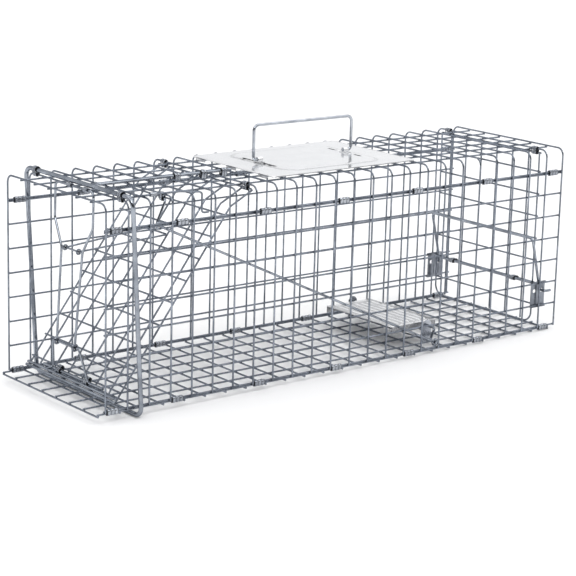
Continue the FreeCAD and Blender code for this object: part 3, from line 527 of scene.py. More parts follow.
WELDED_WIRE = ZincFinish(
    name="zinc_mesh_wire",
    bright=(0.35, 0.383, 0.44),
    dull=(0.17, 0.19, 0.225),
    stain=(0.07, 0.078, 0.094),
    rough=(0.16, 0.32),
    crystal_scale=420.0,
    crystal_share=0.28,
    streaks=(60.0, 60.0, 60.0),
    streak_share=0.2,
    speck_start=0.64,
    relief_strength=0.35,
)
DRAWN_ROD = ZincFinish(
    name="zinc_bent_rod",
    bright=(0.44, 0.475, 0.53),
    dull=(0.22, 0.24, 0.275),
    stain=(0.08, 0.088, 0.105),
    rough=(0.08, 0.20),
    crystal_scale=300.0,
    crystal_share=0.16,
    streaks=(40.0, 40.0, 40.0),
    streak_share=0.2,
    speck_start=0.68,
    relief_strength=0.25,
)
POLISHED_ROD = ZincFinish(
    name="zinc_polished_rod",
    bright=(0.60, 0.635, 0.685),
    dull=(0.38, 0.405, 0.45),
    stain=(0.16, 0.172, 0.195),
    rough=(0.08, 0.18),
    crystal_scale=300.0,
    crystal_share=0.1,
    streaks=(40.0, 40.0, 40.0),
    streak_share=0.14,
    speck_start=0.7,
    relief_strength=0.2,
    rim=(0.22, 0.235, 0.27),
)
CRIMPED_SHEET = ZincFinish(
    name="zinc_crimped_sheet",
    bright=(0.56, 0.59, 0.64),
    dull=(0.28, 0.30, 0.34),
    stain=(0.07, 0.078, 0.09),
    rough=(0.10, 0.26),
    crystal_scale=520.0,
    crystal_share=0.14,
    streaks=(900.0, 260.0, 260.0),
    streak_share=0.3,
    speck_start=0.66,
    relief_strength=0.3,
    has_painted_shade=True,
)
LATCH_SHEET = ZincFinish(
    name="zinc_latch_sheet",
    bright=(0.32, 0.342, 0.38),
    dull=(0.20, 0.217, 0.25),
    stain=(0.09, 0.10, 0.115),
    rough=(0.24, 0.42),
    crystal_scale=260.0,
    crystal_share=0.2,
    streaks=(700.0, 40.0, 30.0),
    streak_share=0.4,
    speck_start=0.66,
    relief_strength=0.3,
)
GUARD_SHEET = ZincFinish(
    name="bright_guard_sheet",
    bright=(0.84, 0.845, 0.855),
    dull=(0.78, 0.785, 0.80),
    stain=(0.66, 0.68, 0.71),
    rough=(0.08, 0.18),
    crystal_scale=120.0,
    crystal_share=0.06,
    streaks=(16.0, 520.0, 520.0),
    streak_share=0.1,
    speck_start=0.76,
    relief_strength=0.06,
    metal=0.65,
    rim=(0.9, 0.91, 0.93),
    has_painted_shade=True,
    painted_shade_tint=(0.05, 0.053, 0.06),
)


@dataclass
class Finishes:
    """The object's materials, each made once and shared by its pieces."""

    made: dict[str, bpy.types.Material] = field(default_factory=dict)

    def give(self, piece: Piece, finish: ZincFinish) -> None:
        """Put one finish on the whole of a piece.

        Args:
            piece: the object to dress.
            finish: its finish.
        """
        if finish.name not in self.made:
            self.made[finish.name] = finish.material()
        piece.data.materials.clear()
        piece.data.materials.append(self.made[finish.name])


def mesh_data(mesh: Mesh, name: str) -> bpy.types.Mesh:
    """Turn a bmesh into mesh data.

    Args:
        mesh: the shape, which is freed.
        name: name of the data.

    Returns:
        The new data.
    """
    data = bpy.data.meshes.new(name)
    mesh.to_mesh(data)
    mesh.free()
    return data


def new_object(name: str, data: bpy.types.ID) -> Piece:
    """Add an object to the scene.

    Args:
        name: name of the object.
        data: its mesh, lamp or camera data.

    Returns:
        The new object, at the origin.
    """
    made = bpy.data.objects.new(name, data)
    bpy.context.scene.collection.objects.link(made)
    return made


def extruded(mesh: Mesh, edges: list[Edge], shift: Vector) -> tuple[list[Vert], list[Edge]]:
    """Extrude edges and move the new ones.

    Args:
        mesh: the mesh.
        edges: the edges to extrude.
        shift: how far the new edges move.

    Returns:
        The new points, and the new edges between them.
    """
    made = bmesh.ops.extrude_edge_only(mesh, edges=edges)["geom"]
    ring = [item for item in made if isinstance(item, Vert)]
    bmesh.ops.translate(mesh, verts=ring, vec=shift)
    new = set(ring)
    far = [item for item in made if isinstance(item, Edge) and new.issuperset(item.verts)]
    return ring, far


def finished_piece(
    mesh: Mesh, name: str, body: str, sharp_angle: float = 40.0
) -> Piece:
    """Turn a bmesh into a piece that rides on a body.

    Args:
        mesh: the shape, in the object's frame.
        name: name of the piece.
        body: the body it rides on.
        sharp_angle: angle in degrees from which an edge stays sharp.

    Returns:
        The new object, at the origin.
    """
    data = mesh_data(mesh, name)
    data.shade_smooth()
    data.set_sharp_from_angle(angle=math.radians(sharp_angle))
    piece = new_object(name, data)
    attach(piece, body)
    return piece


def add_wall(piece: Piece, thickness: float) -> None:
    """Give a sheet piece its thickness, inwards from its outer face.

    Args:
        piece: the open shell.
        thickness: thickness of the sheet.
    """
    wall = piece.modifiers.new("wall", "SOLIDIFY")
    wall.thickness = thickness
    wall.offset = -1.0
    wall.use_even_offset = True


def slice_sheet(mesh: Mesh, axis: Vector, places: Iterable[float]) -> None:
    """Cut a flat sheet across one axis at several places.

    Args:
        mesh: the sheet.
        axis: direction across the cuts.
        places: distances of the cuts along that direction.
    """
    for place in places:
        bmesh.ops.bisect_plane(
            mesh,
            geom=mesh.verts[:] + mesh.edges[:] + mesh.faces[:],
            plane_co=axis * place,
            plane_no=axis,
            dist=CUT_SNAP,
        )


def steps(low: float, high: float, size: float) -> list[float]:
    """Even places strictly between two ends.

    Args:
        low: first end.
        high: second end.
        size: largest distance between two places.

    Returns:
        The places.
    """
    number = max(1, math.ceil((high - low) / size))
    return [low + (high - low) * index / number for index in range(1, number)]


def ramp(value: float, low: float, high: float) -> float:
    """A smooth rise from 0 at the low value to 1 at the high one."""
    share = min(1.0, max(0.0, (value - low) / (high - low)))
    return share * share * (3 - 2 * share)


def pairs_of(places: Iterable[float], reach: float) -> list[float]:
    """The two places at one distance on either side of each place."""
    return [place + way * reach for place in places for way in BOTH_WAYS]


@dataclass
class WeldBeads:
    """Small zinc beads where the welded wires cross, on the cage and on both doors."""

    finishes: Finishes
    grid: CageGrid = GRID
    door: DoorSlope = DOOR
    seed: int = 7
    spread: float = 1.3 * MILLI
    depth: float = 1.0 * MILLI
    end_inset: float = 0.45 * MILLI
    wide_share: Pair = (0.92, 1.0)
    long_share: Pair = (0.88, 1.0)
    segments: tuple[int, int] = (8, 5)
    smooth_angle: float = 80.0

    def bead(self, mesh: Mesh, spot: Vector, normal: Vector, chance: random.Random) -> None:
        """Add one bead.

        Args:
            mesh: the mesh that receives it.
            spot: its centre.
            normal: direction from one wire to the other.
            chance: source of its small irregularities.
        """
        turn = normal.to_track_quat("Z", "Y").to_matrix().to_4x4()
        wide = self.spread * chance.uniform(*self.wide_share)
        long = self.spread * chance.uniform(*self.long_share)
        shape = Matrix.Diagonal((wide, long, self.depth, 1.0))
        bmesh.ops.create_uvsphere(
            mesh,
            u_segments=self.segments[0],
            v_segments=self.segments[1],
            radius=1.0,
            matrix=Matrix.Translation(spot) @ turn @ shape,
        )

    def piece(self, name: str, body: str, spots: list[Weld]) -> None:
        """Build the beads of one panel.

        Args:
            name: name of the piece.
            body: the body it rides on.
            spots: pairs of a centre and a normal.
        """
        chance = random.Random("%d %s" % (self.seed, name))
        mesh = bmesh.new()
        for spot, normal in spots:
            self.bead(mesh, spot, normal, chance)
        beads = finished_piece(mesh, name, body, self.smooth_angle)
        self.finishes.give(beads, WELDED_WIRE)
        LOG.info("%s: %d beads on %s", name, len(spots), body)

    def uprights(self) -> list[float]:
        """Places of the uprights, the outer ones moved in so that a bead stays within the ends."""
        low, high = self.end_inset, self.grid.length - self.end_inset
        return [min(max(x, low), high) for x in self.grid.run(range(self.grid.long_cells + 1))]

    def floor(self) -> list[Weld]:
        """Crossings of the floor.

        Returns:
            Pairs of a centre and a normal.
        """
        g = self.grid
        rows = [g.wire_r] + g.run(range(1, g.wide_cells)) + [g.width - g.wire_r]
        return [
            (g.at(x - g.floor_shift, y, g.floor_weld_z), Z_AXIS)
            for x in self.uprights()
            for y in rows
        ]

    def side(self, weld_y: float) -> list[Weld]:
        """Crossings of one side.

        Args:
            weld_y: distance of its weld plane from the near side.

        Returns:
            Pairs of a centre and a normal.
        """
        g = self.grid
        levels = g.run(range(g.side_cells)) + [g.rail_z - g.wire]
        return [(g.at(x, weld_y, z), Y_AXIS) for x in self.uprights() for z in levels]

    def roof(self) -> list[Weld]:
        """Crossings of the roof and of its two flanges.

        Returns:
            Pairs of a centre and a normal.
        """
        g = self.grid
        spots = []
        for x in self.uprights():
            for y in g.run(range(1, g.wide_cells)):
                spots.append((g.at(x, y, g.roof_z - g.wire_r), Z_AXIS))
            spots += [(g.at(x, y, g.rail_z), Y_AXIS) for y in (0.0, g.width)]
        return spots

    def front_door(self) -> list[Weld]:
        """Crossings of the front door.

        Returns:
            Pairs of a centre and a normal.
        """
        g = self.grid
        spots = []
        for place, out in self.door.cross_wires():
            middle = place - out * g.wire_r
            spots += [(g.at(middle.x, y, middle.z), out) for y in g.door_rows]
        return spots

    def rear_door(self) -> list[Weld]:
        """Crossings of the rear door.

        Returns:
            Pairs of a centre and a normal.
        """
        g = self.grid
        x = g.rear_door_x - g.wire_r
        levels = g.run(range(1, g.roof_cells)) + [g.hinge_z]
        return [(g.at(x, y, z), X_AXIS) for y in g.door_rows for z in levels]

    def build(self) -> None:
        """Build every panel's beads."""
        self.piece("floor_weld_beads", "cage", self.floor())
        self.piece("near_side_weld_beads", "cage", self.side(0.0))
        self.piece("far_side_weld_beads", "cage", self.side(self.grid.width))
        self.piece("roof_weld_beads", "cage", self.roof())
        self.piece("front_door_weld_beads", "front_door", self.front_door())
        self.piece("rear_door_weld_beads", "rear_door", self.rear_door())


@dataclass(frozen=True)
class SleeveSpot:
    """Where a sleeve sits: first wire's middle and direction, and the way to the second wire."""

    middle: Vector
    axis: Vector
    reach: Vector
    seam: Side = Side.RIGHT


@dataclass(frozen=True)
class SleeveFamily:
    """Equal sleeves that stand for one node: the bores round their wires, and their crimps."""

    node: str
    body: str
    first_bore: float
    second_bore: float
    distance: float
    length: float
    crimps: int
    spots: tuple[SleeveSpot, ...]


@dataclass
class CrimpedSleeves:
    """Sheet rolled round two wires and crimped, with an open dark seam, and painted shade at its
    ends and in its crimp grooves.
    """

    finishes: Finishes
    grid: CageGrid = GRID
    door: DoorSlope = DOOR
    round_steps: int = 22
    ring_steps: int = 6
    ridge: float = 0.35 * MILLI
    # Painted shade in the pressed-in crimp grooves, and the length of the painted shade band at
    # each end.
    crimp_shade: float = 0.6
    end_shade_length: float = 1.2 * MILLI
    seam_gap: float = 0.6 * MILLI
    edge_length: float = 13.0 * MILLI
    clip_length: float = 7.0 * MILLI
    hinge_length: float = 8.0 * MILLI
    catch_length: float = 4.7 * MILLI
    edge_crimps: int = 3
    clip_crimps: int = 2
    catch_crimps: int = 1
    edge_cells: tuple[float, ...] = (0.5, 3.5, 7.5, 11.5, 15.5, 19.5, 23.5)
    rod_clip_cells: Triple = (5.3, 6.6, 7.6)
    rod_row_cells: float = 3.0
    front_hinge_cells: Triple = (0.7, 3.5, 6.3)
    rear_hinge_cells: Pair = (0.7, 6.3)
    hoop_clip_cells: Pair = (0.47, 6.53)
    hoop_row_cells: float = 1.0
    catch_cells: Pair = (3.0, 0.66)
    lock_clip_cells: Pair = (2.5, 4.5)
    brace_clip_cells: Pair = (1.5, 5.5)
    brace_level_cells: float = 2.0

    def section(self, mesh: Mesh, family: SleeveFamily, seam: Side) -> list[Edge]:
        """The open outline of a sleeve, in its own plane.

        Args:
            mesh: the mesh that receives it.
            family: the sleeve's sizes.
            seam: the side of its seam.

        Returns:
            The outline's edges, open at the seam.
        """
        first = family.first_bore + self.grid.sheet
        second = family.second_bore + self.grid.sheet
        half_step = Matrix.Rotation(math.pi / self.round_steps, 4, "Z")
        made = bmesh.ops.create_circle(
            mesh, segments=self.round_steps, radius=1.0, matrix=half_step
        )["verts"]
        low = [vert for vert in made if vert.co.y < 0]
        high = [vert for vert in made if vert.co.y > 0]
        bmesh.ops.scale(mesh, verts=low, vec=(first, first, 1.0))
        bmesh.ops.scale(mesh, verts=high, vec=(second, second, 1.0))
        bmesh.ops.translate(mesh, verts=high, vec=(0.0, family.distance, 0.0))
        cut = [
            edge
            for edge in mesh.edges
            if (edge.verts[0] in low) != (edge.verts[1] in low)
            and edge.verts[0].co.x * seam.value > 0
        ]
        split = bmesh.ops.subdivide_edges(mesh, edges=cut, cuts=2)["geom_split"]
        inner = [item for item in split if isinstance(item, Vert) and item not in made]
        middle = sum((vert.co for vert in inner), Vector()) / len(inner)
        along = (inner[0].co - inner[1].co).normalized()
        inner[0].co = middle + along * (self.seam_gap / 2)
        inner[1].co = middle - along * (self.seam_gap / 2)
        gap = [edge for edge in mesh.edges if edge.verts[0] in inner and edge.verts[1] in inner]
        bmesh.ops.delete(mesh, geom=gap, context="EDGES_FACES")
        return mesh.edges[:]

    def sleeve(self, family: SleeveFamily, spot: SleeveSpot) -> bpy.types.Mesh:
        """Build one sleeve at its place.

        Args:
            family: the sleeve's sizes.
            spot: the sleeve's place.

        Returns:
            The sleeve's shell as mesh data.
        """
        mesh = bmesh.new()
        paint = mesh.verts.layers.float.new(PAINTED_SHADE_LAYER)
        edges = self.section(mesh, family, spot.seam)
        rings = [mesh.verts[:]]
        number = family.crimps * self.ring_steps
        step = Z_AXIS * (family.length / number)
        for _ in range(number):
            ring, edges = extruded(mesh, edges, step)
            rings.append(ring)
        for index, ring in enumerate(rings):
            self.crimp(mesh, family, ring, index / number, paint)
        turn = Matrix((spot.reach.cross(spot.axis), spot.reach, spot.axis)).transposed().to_4x4()
        place = Matrix.Translation(spot.middle - spot.axis * (family.length / 2)) @ turn
        bmesh.ops.transform(mesh, matrix=place, verts=mesh.verts)
        bmesh.ops.recalc_face_normals(mesh, faces=mesh.faces)
        self.face_outwards(mesh, family, spot)
        return mesh_data(mesh, family.node + "_shell")

    def crimp(
        self, mesh: Mesh, family: SleeveFamily, ring: list[Vert], share: float, paint: Paint
    ) -> None:
        """Raise one ring of points where the sheet bulges, and paint shade on it where it is
        pressed in and near the ends.

        Args:
            mesh: the sleeve.
            family: its sizes.
            ring: the points of one ring.
            share: the ring's place along the length, from 0 to 1.
            paint: the layer of the painted shade.
        """
        wave = 0.5 - 0.5 * math.cos(2 * math.pi * family.crimps * share)
        half = family.distance / 2
        for centre_y, bore, part in (
            (0.0, family.first_bore, [vert for vert in ring if vert.co.y <= half]),
            (family.distance, family.second_bore, [vert for vert in ring if vert.co.y > half]),
        ):
            radius = bore + self.grid.sheet
            factor = (radius + self.ridge * wave) / radius
            centre = Matrix.Translation((0.0, -centre_y, 0.0))
            bmesh.ops.scale(mesh, verts=part, vec=(factor, factor, 1.0), space=centre)
        # Painted shade: darkest in the pressed-in grooves between the crimps and in a band at each
        # end.
        inner = self.crimp_shade * (1 - wave) ** 3
        end = 1 - ramp(min(share, 1 - share) * family.length, 0.0, self.end_shade_length)
        for vert in ring:
            vert[paint] = max(inner, end)

    def face_outwards(self, mesh: Mesh, family: SleeveFamily, spot: SleeveSpot) -> None:
        """Turn every face's front away from the wires.

        Args:
            mesh: the sleeve at its place.
            family: its sizes.
            spot: its place.
        """
        middle = spot.middle + spot.reach * (family.distance / 2)
        votes = 0.0
        for face in mesh.faces:
            offset = face.calc_center_median() - middle
            offset -= spot.axis * offset.dot(spot.axis)
            votes += face.normal.dot(offset)
        if votes < 0:
            bmesh.ops.reverse_faces(mesh, faces=mesh.faces)

    def family_piece(self, family: SleeveFamily) -> None:
        """Build all sleeves of one node as one piece.

        Args:
            family: their sizes and places.
        """
        mesh = bmesh.new()
        for spot in family.spots:
            data = self.sleeve(family, spot)
            mesh.from_mesh(data)
            bpy.data.meshes.remove(data)
        piece = finished_piece(mesh, family.node + "_crimped", family.body)
        add_wall(piece, self.grid.sheet)
        self.finishes.give(piece, CRIMPED_SHEET)
        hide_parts(family.node)
        LOG.info("%s: %d sleeves", family.node, len(family.spots))

    def edge_families(self) -> list[SleeveFamily]:
        """The sleeves of the four long edges.

        Returns:
            Their families.
        """
        g = self.grid
        bore = g.wire_r + g.still_gap
        families = []
        for side, y, seam in (
            ("near", g.wire_r, Side.RIGHT),
            ("far", g.width - g.wire_r, Side.LEFT),
        ):
            for edge, z, shift in (
                ("top", g.rail_z - g.wire, 0.0),
                ("bottom", -g.wire, g.floor_shift / 2),
            ):
                spots = tuple(
                    SleeveSpot(g.at(x - shift, y, z), X_AXIS, Z_AXIS, seam)
                    for x in g.run(self.edge_cells)
                )
                node = "%s_%s_sleeves" % (side, edge)
                sizes = (bore, bore, g.wire, self.edge_length, self.edge_crimps)
                families.append(SleeveFamily(node, "cage", *sizes, spots))
        return families

    def spots(
        self, xs: Iterable[float], ys: Iterable[float], z: float, axis: Vector, reach: Vector
    ) -> tuple[SleeveSpot, ...]:
        """Places of sleeves at one height.

        Args:
            xs: distances behind the front.
            ys: distances from the near side.
            z: height over the sides' foot.
            axis: direction of the wires.
            reach: the way to the second wire.

        Returns:
            One place for each pair of distances.
        """
        return tuple(SleeveSpot(self.grid.at(x, y, z), axis, reach) for x in xs for y in ys)

    def roof_families(self) -> list[SleeveFamily]:
        """The clips and hinge sleeves on the roof.

        Returns:
            Their families.
        """
        g = self.grid
        still = g.wire_r + g.still_gap
        running = g.wire_r + g.run_gap
        rod_bore = g.rod_r + g.still_gap
        hoop_bore = g.hoop_wire / 2 + g.run_gap
        catch_bore = g.lock_wire / 2 + g.run_gap
        clip, number = self.clip_length, self.clip_crimps
        rod_row = g.run([self.rod_row_cells])
        rod = self.spots(g.run(self.rod_clip_cells), rod_row, g.roof_z - g.wire, X_AXIS, Z_AXIS)
        front_x = g.run([self.door.hinge_cells])
        front = self.spots(front_x, g.run(self.front_hinge_cells), g.hinge_z, Y_AXIS, Z_AXIS)
        rear = self.spots([g.rear_door_x], g.run(self.rear_hinge_cells), g.hinge_z, Y_AXIS, Z_AXIS)
        hoop_x = g.run([self.hoop_row_cells])
        hoop = self.spots(hoop_x, g.run(self.hoop_clip_cells), g.roof_z, Y_AXIS, Z_AXIS)
        catch_x, catch_y = g.run(self.catch_cells)
        catch = self.spots([catch_x], [catch_y], g.hinge_z, Y_AXIS, Z_AXIS)
        hinge_size = (running, running, g.hinge_drop, self.hinge_length, number)
        catch_size = (catch_bore, still, g.hinge_drop, self.catch_length, self.catch_crimps)
        rows = (
            ("roof_rod_clips", (still, rod_bore, g.rod_reach, clip, number), rod),
            ("front_door_hinge_sleeves", hinge_size, front),
            ("rear_door_hinge_sleeves", hinge_size, rear),
            ("hoop_clips", (still, hoop_bore, g.hoop_rise, clip, number), hoop),
            ("catch_sleeve", catch_size, catch),
        )
        return [SleeveFamily(node, "cage", *sizes, spots) for node, sizes, spots in rows]

    def door_families(self) -> list[SleeveFamily]:
        """The sleeves that hold the doors' rods.

        Returns:
            Their families.
        """
        g = self.grid
        rod_bore = g.rod_r + g.still_gap
        still = g.wire_r + g.still_gap
        clip, number = self.clip_length, self.clip_crimps
        spot = self.door.lock_spot
        lock = self.spots([spot.x], g.run(self.lock_clip_cells), spot.z, Y_AXIS, -self.door.down)
        brace_x = g.rear_door_x - g.wire - g.wire_r - g.rod_r
        brace_z = self.brace_level_cells * g.pitch
        brace = self.spots([brace_x], g.run(self.brace_clip_cells), brace_z, Y_AXIS, X_AXIS)
        lock_size = (rod_bore, still, g.door_hem, clip, number)
        brace_size = (rod_bore, still, g.rod_reach, clip, number)
        return [
            SleeveFamily("lock_rod_sleeves", "front_door", *lock_size, lock),
            SleeveFamily("brace_sleeves", "rear_door", *brace_size, brace),
        ]

    def build(self) -> None:
        """Build every family."""
        for family in self.edge_families() + self.roof_families() + self.door_families():
            self.family_piece(family)


@dataclass
class PressedSheet:
    """A flat sheet with rounded corners, cut into small faces, pierced and pressed into relief."""

    length: float
    width: float
    corner: float
    cell: float = 4.0 * MILLI
    corner_steps: int = 5
    border_share: float = 1 / 12

    def blank(self, x_cuts: Iterable[float], y_cuts: Iterable[float]) -> Mesh:
        """The flat sheet, centred, cut at the given places and evenly between them.

        Args:
            x_cuts: places that need a cut across the length.
            y_cuts: places that need a cut across the width.

        Returns:
            The sheet.
        """
        mesh = bmesh.new()
        bmesh.ops.create_grid(mesh, x_segments=1, y_segments=1, size=0.5)
        bmesh.ops.scale(mesh, verts=mesh.verts, vec=(self.length, self.width, 1.0))
        if self.corner > 0:
            bmesh.ops.bevel(
                mesh,
                geom=mesh.verts[:],
                offset=self.corner,
                segments=self.corner_steps,
                profile=0.5,
                affect="VERTICES",
                material=-1,
            )
        for axis, size, wanted in (
            (X_AXIS, self.length, sorted(x_cuts)),
            (Y_AXIS, self.width, sorted(y_cuts)),
        ):
            stops = [-size / 2] + wanted + [size / 2]
            slice_sheet(mesh, axis, wanted)
            for low, high in zip(stops, stops[1:]):
                slice_sheet(mesh, axis, steps(low, high, self.cell))
        return mesh

    @staticmethod
    def pierce(mesh: Mesh, middle: Pair, size: Pair) -> None:
        """Take out the faces of one slit.

        Args:
            mesh: the sheet.
            middle: the slit's middle.
            size: the slit's length along X and Y.
        """
        gone = []
        for face in mesh.faces:
            centre = face.calc_center_median()
            in_x = abs(centre.x - middle[0]) < size[0] / 2
            if in_x and abs(centre.y - middle[1]) < size[1] / 2:
                gone.append(face)
        bmesh.ops.delete(mesh, geom=gone, context="FACES")

    @staticmethod
    def fold(
        mesh: Mesh, paint: Paint, x_span: Pair, y_span: Pair, profile: Iterable[Pair]
    ) -> None:
        """Turn the borders in one rectangle down, painting shade on each new ring of points.

        Args:
            mesh: the sheet.
            paint: the layer of the painted shade.
            x_span: the rectangle's ends along the length.
            y_span: its ends along the width.
            profile: pairs of a step down and the painted shade at its end.
        """
        edges = [
            edge
            for edge in mesh.edges
            if edge.is_boundary
            and all(x_span[0] - TINY < vert.co.x < x_span[1] + TINY for vert in edge.verts)
            and all(y_span[0] - TINY < vert.co.y < y_span[1] + TINY for vert in edge.verts)
        ]
        # Painted shade: each new ring gets the shade value of its step.
        for depth, shade_level in profile:
            ring, edges = extruded(mesh, edges, Z_AXIS * -depth)
            for vert in ring:
                vert[paint] = shade_level

    def sink(self, mesh: Mesh, paint: Paint, profile: Iterable[Pair]) -> None:
        """Turn every inner border down into a trough with painted shade.

        Args:
            mesh: the sheet, pierced and pressed.
            paint: the layer of the painted shade.
            profile: pairs of a step down and the painted shade at its end.
        """
        border = self.border_share * max(self.length, self.width)
        far_x, far_y = self.length / 2 - border, self.width / 2 - border
        self.fold(mesh, paint, (-far_x, far_x), (-far_y, far_y), profile)

    def fold_sides(self, mesh: Mesh, paint: Paint, profile: Iterable[Pair]) -> None:
        """Turn both long sides down between the corners.

        Args:
            mesh: the sheet.
            paint: the layer of the painted shade.
            profile: pairs of a step down and the painted shade at its end.
        """
        straight = self.length / 2 - self.corner
        for side in BOTH_WAYS:
            edge = side * self.width / 2
            self.fold(mesh, paint, (-straight, straight), (edge, edge), profile)


@dataclass
class GuardPlate:
    """The guard plate under the handle: a pressed panel, two slits, side rims and front lips, with
    painted shade along the panel's edge, in the slits' troughs, on the rims and on the lips.
    """

    finishes: Finishes
    grid: CageGrid = GRID
    length: float = 194.0 * MILLI
    width: float = 140.0 * MILLI
    corner: float = 5.0 * MILLI
    sheet: float = 1.0 * MILLI
    rise: float = 1.1 * MILLI
    panel_margin: float = 16.0 * MILLI
    panel_end_margin: float = 32.5 * MILLI
    panel_rise: float = 0.8 * MILLI
    panel_corner: float = 16.0 * MILLI
    panel_slope: float = 3.0 * MILLI
    panel_lead: float = 0.2 * MILLI
    slope_shares: tuple[float, ...] = (0, 0.35, 0.7, 1)
    # Painted shade along the raised panel's edge crease, and the span of depth around the edge that
    # it covers.
    edge_line_shade: float = 0.35
    edge_line_shade_span: Pair = (-1.5 * MILLI, 2.0 * MILLI)
    slit_reach: float = 58.2 * MILLI
    slit_length: float = 58.0 * MILLI
    slit_width: float = 3.0 * MILLI
    notches: Triple = (-21.4 * MILLI, -11.7 * MILLI, 22.9 * MILLI)
    notch_size: Pair = (2.0 * MILLI, 4.5 * MILLI)
    windows: tuple[Pair, ...] = (
        (-27.0 * MILLI, -16.0 * MILLI),
        (-4.0 * MILLI, 4.0 * MILLI),
        (17.0 * MILLI, 28.0 * MILLI),
    )
    bridges: tuple[Pair, ...] = ((-15.0 * MILLI, -7.0 * MILLI), (7.0 * MILLI, 16.0 * MILLI))
    bridge_rise: float = 0.9 * MILLI
    bridge_width: float = 4.5 * MILLI
    bridge_slope: float = 1.0 * MILLI
    # Steps down with the painted shade at each step's end: dark slit troughs, shaded side rims, and
    # lips outlined in painted shade at their fold and lower edge.
    trough: tuple[Pair, ...] = ((0.12 * MILLI, 1.0), (1.5 * MILLI, 1.0))
    lip_length: float = 16.0 * MILLI
    least_cut: float = 0.2 * MILLI
    rim_profile: tuple[Pair, ...] = ((0.3 * MILLI, 0.5), (0.8 * MILLI, 0.3))
    lip_profile: tuple[Pair, ...] = (
        (0.15 * MILLI, 0.75),
        (0.5 * MILLI, 0.7),
        (0.2 * MILLI, 0.1),
        (2.0 * MILLI, 0.1),
        (0.2 * MILLI, 0.75),
        (0.5 * MILLI, 0.8),
    )
    centre_cells: float = 12.175
    handle_cells: float = 12.1

    @property
    def slits(self) -> Pair:
        """Places of the two slits, under the handle's feet, from the plate's middle."""
        offset = (self.handle_cells - self.centre_cells) * self.grid.pitch
        return (offset - self.slit_reach, offset + self.slit_reach)

    @property
    def lips(self) -> Triple:
        """Middles of the three lips along the front edge."""
        outer = self.width / 2 - self.panel_margin
        return (-outer, 0.0, outer)

    def panel_depth(self, x: float, y: float) -> float:
        """How far a point lies inside the pressed panel's rounded border.

        Args:
            x: its place along the length.
            y: its place along the width.

        Returns:
            The distance, below 0 outside.
        """
        half_x = self.length / 2 - self.panel_end_margin - self.panel_corner
        half_y = self.width / 2 - self.panel_margin - self.panel_corner
        over_x = max(abs(x) - half_x, 0.0)
        over_y = max(abs(y) - half_y, 0.0)
        depth = self.panel_corner - math.hypot(over_x, over_y)
        if over_x == over_y == 0.0:
            depth += min(max(half_x - abs(x), 0.0), max(half_y - abs(y), 0.0))
        return depth

    def height(self, x: float, y: float) -> float:
        """Height of the upper face over the flat border.

        Args:
            x: place along the length.
            y: place along the width.

        Returns:
            The height.
        """
        lift = self.panel_rise * ramp(self.panel_depth(x, y), -self.panel_lead, self.panel_slope)
        inside = self.bridge_width / 2 - abs(x - self.slits[1])
        across = ramp(inside, 0.0, self.bridge_width / 3)
        for low, high in self.bridges:
            lift += self.bridge_rise * across * ramp(min(y - low, high - y), 0.0, self.bridge_slope)
        return lift

    def slope_cuts(self, border: float) -> list[float]:
        """Places of the cuts on the panel's slope, inside its border at both ends."""
        insets = [share * self.panel_slope for share in self.slope_shares]
        return [way * (border - inset) for way in BOTH_WAYS for inset in insets]

    def x_cuts(self) -> list[float]:
        """Places of the cuts across the length.

        Returns:
            The places, sorted.
        """
        front, rear = self.slits
        cuts = pairs_of(self.slits, self.slit_width / 2)
        cuts += self.slope_cuts(self.length / 2 - self.panel_end_margin)
        cuts += [front - self.slit_width / 2 - self.notch_size[0], rear]
        cuts += pairs_of([rear], self.bridge_width / 2)
        return self.merged(cuts)

    def y_cuts(self) -> list[float]:
        """Places of the cuts across the width.

        Returns:
            The places, sorted.
        """
        cuts = self.slope_cuts(self.width / 2 - self.panel_margin)
        cuts += pairs_of([0.0], self.slit_length / 2)
        cuts += pairs_of(self.notches, self.notch_size[1] / 2)
        cuts += [place for window in self.windows for place in window]
        ends = [place for bridge in self.bridges for place in bridge]
        cuts += ends + pairs_of(ends, self.bridge_slope)
        cuts += pairs_of(self.lips, self.lip_length / 2)
        return self.merged(cuts)

    def merged(self, places: list[float]) -> list[float]:
        """Sorted places with near doubles left out.

        Args:
            places: the places.

        Returns:
            Those that are kept.
        """
        kept: list[float] = []
        for place in sorted(places):
            if not kept or place - kept[-1] > self.least_cut:
                kept.append(place)
        return kept

    def pierce(self, pressed: PressedSheet, mesh: Mesh) -> None:
        """Cut the front slit with its notches, and the rear slit as three windows.

        Args:
            pressed: the sheet's tools.
            mesh: the flat sheet.
        """
        front, rear = self.slits
        pressed.pierce(mesh, (front, 0.0), (self.slit_width, self.slit_length))
        notch = front - self.slit_width / 2 - self.notch_size[0] / 2
        for middle in self.notches:
            pressed.pierce(mesh, (notch, middle), self.notch_size)
        for low, high in self.windows:
            pressed.pierce(mesh, (rear, (low + high) / 2), (self.slit_width, high - low))

    def build(self) -> None:
        """Build the plate."""
        pressed = PressedSheet(self.length, self.width, self.corner)
        mesh = pressed.blank(self.x_cuts(), self.y_cuts())
        self.pierce(pressed, mesh)
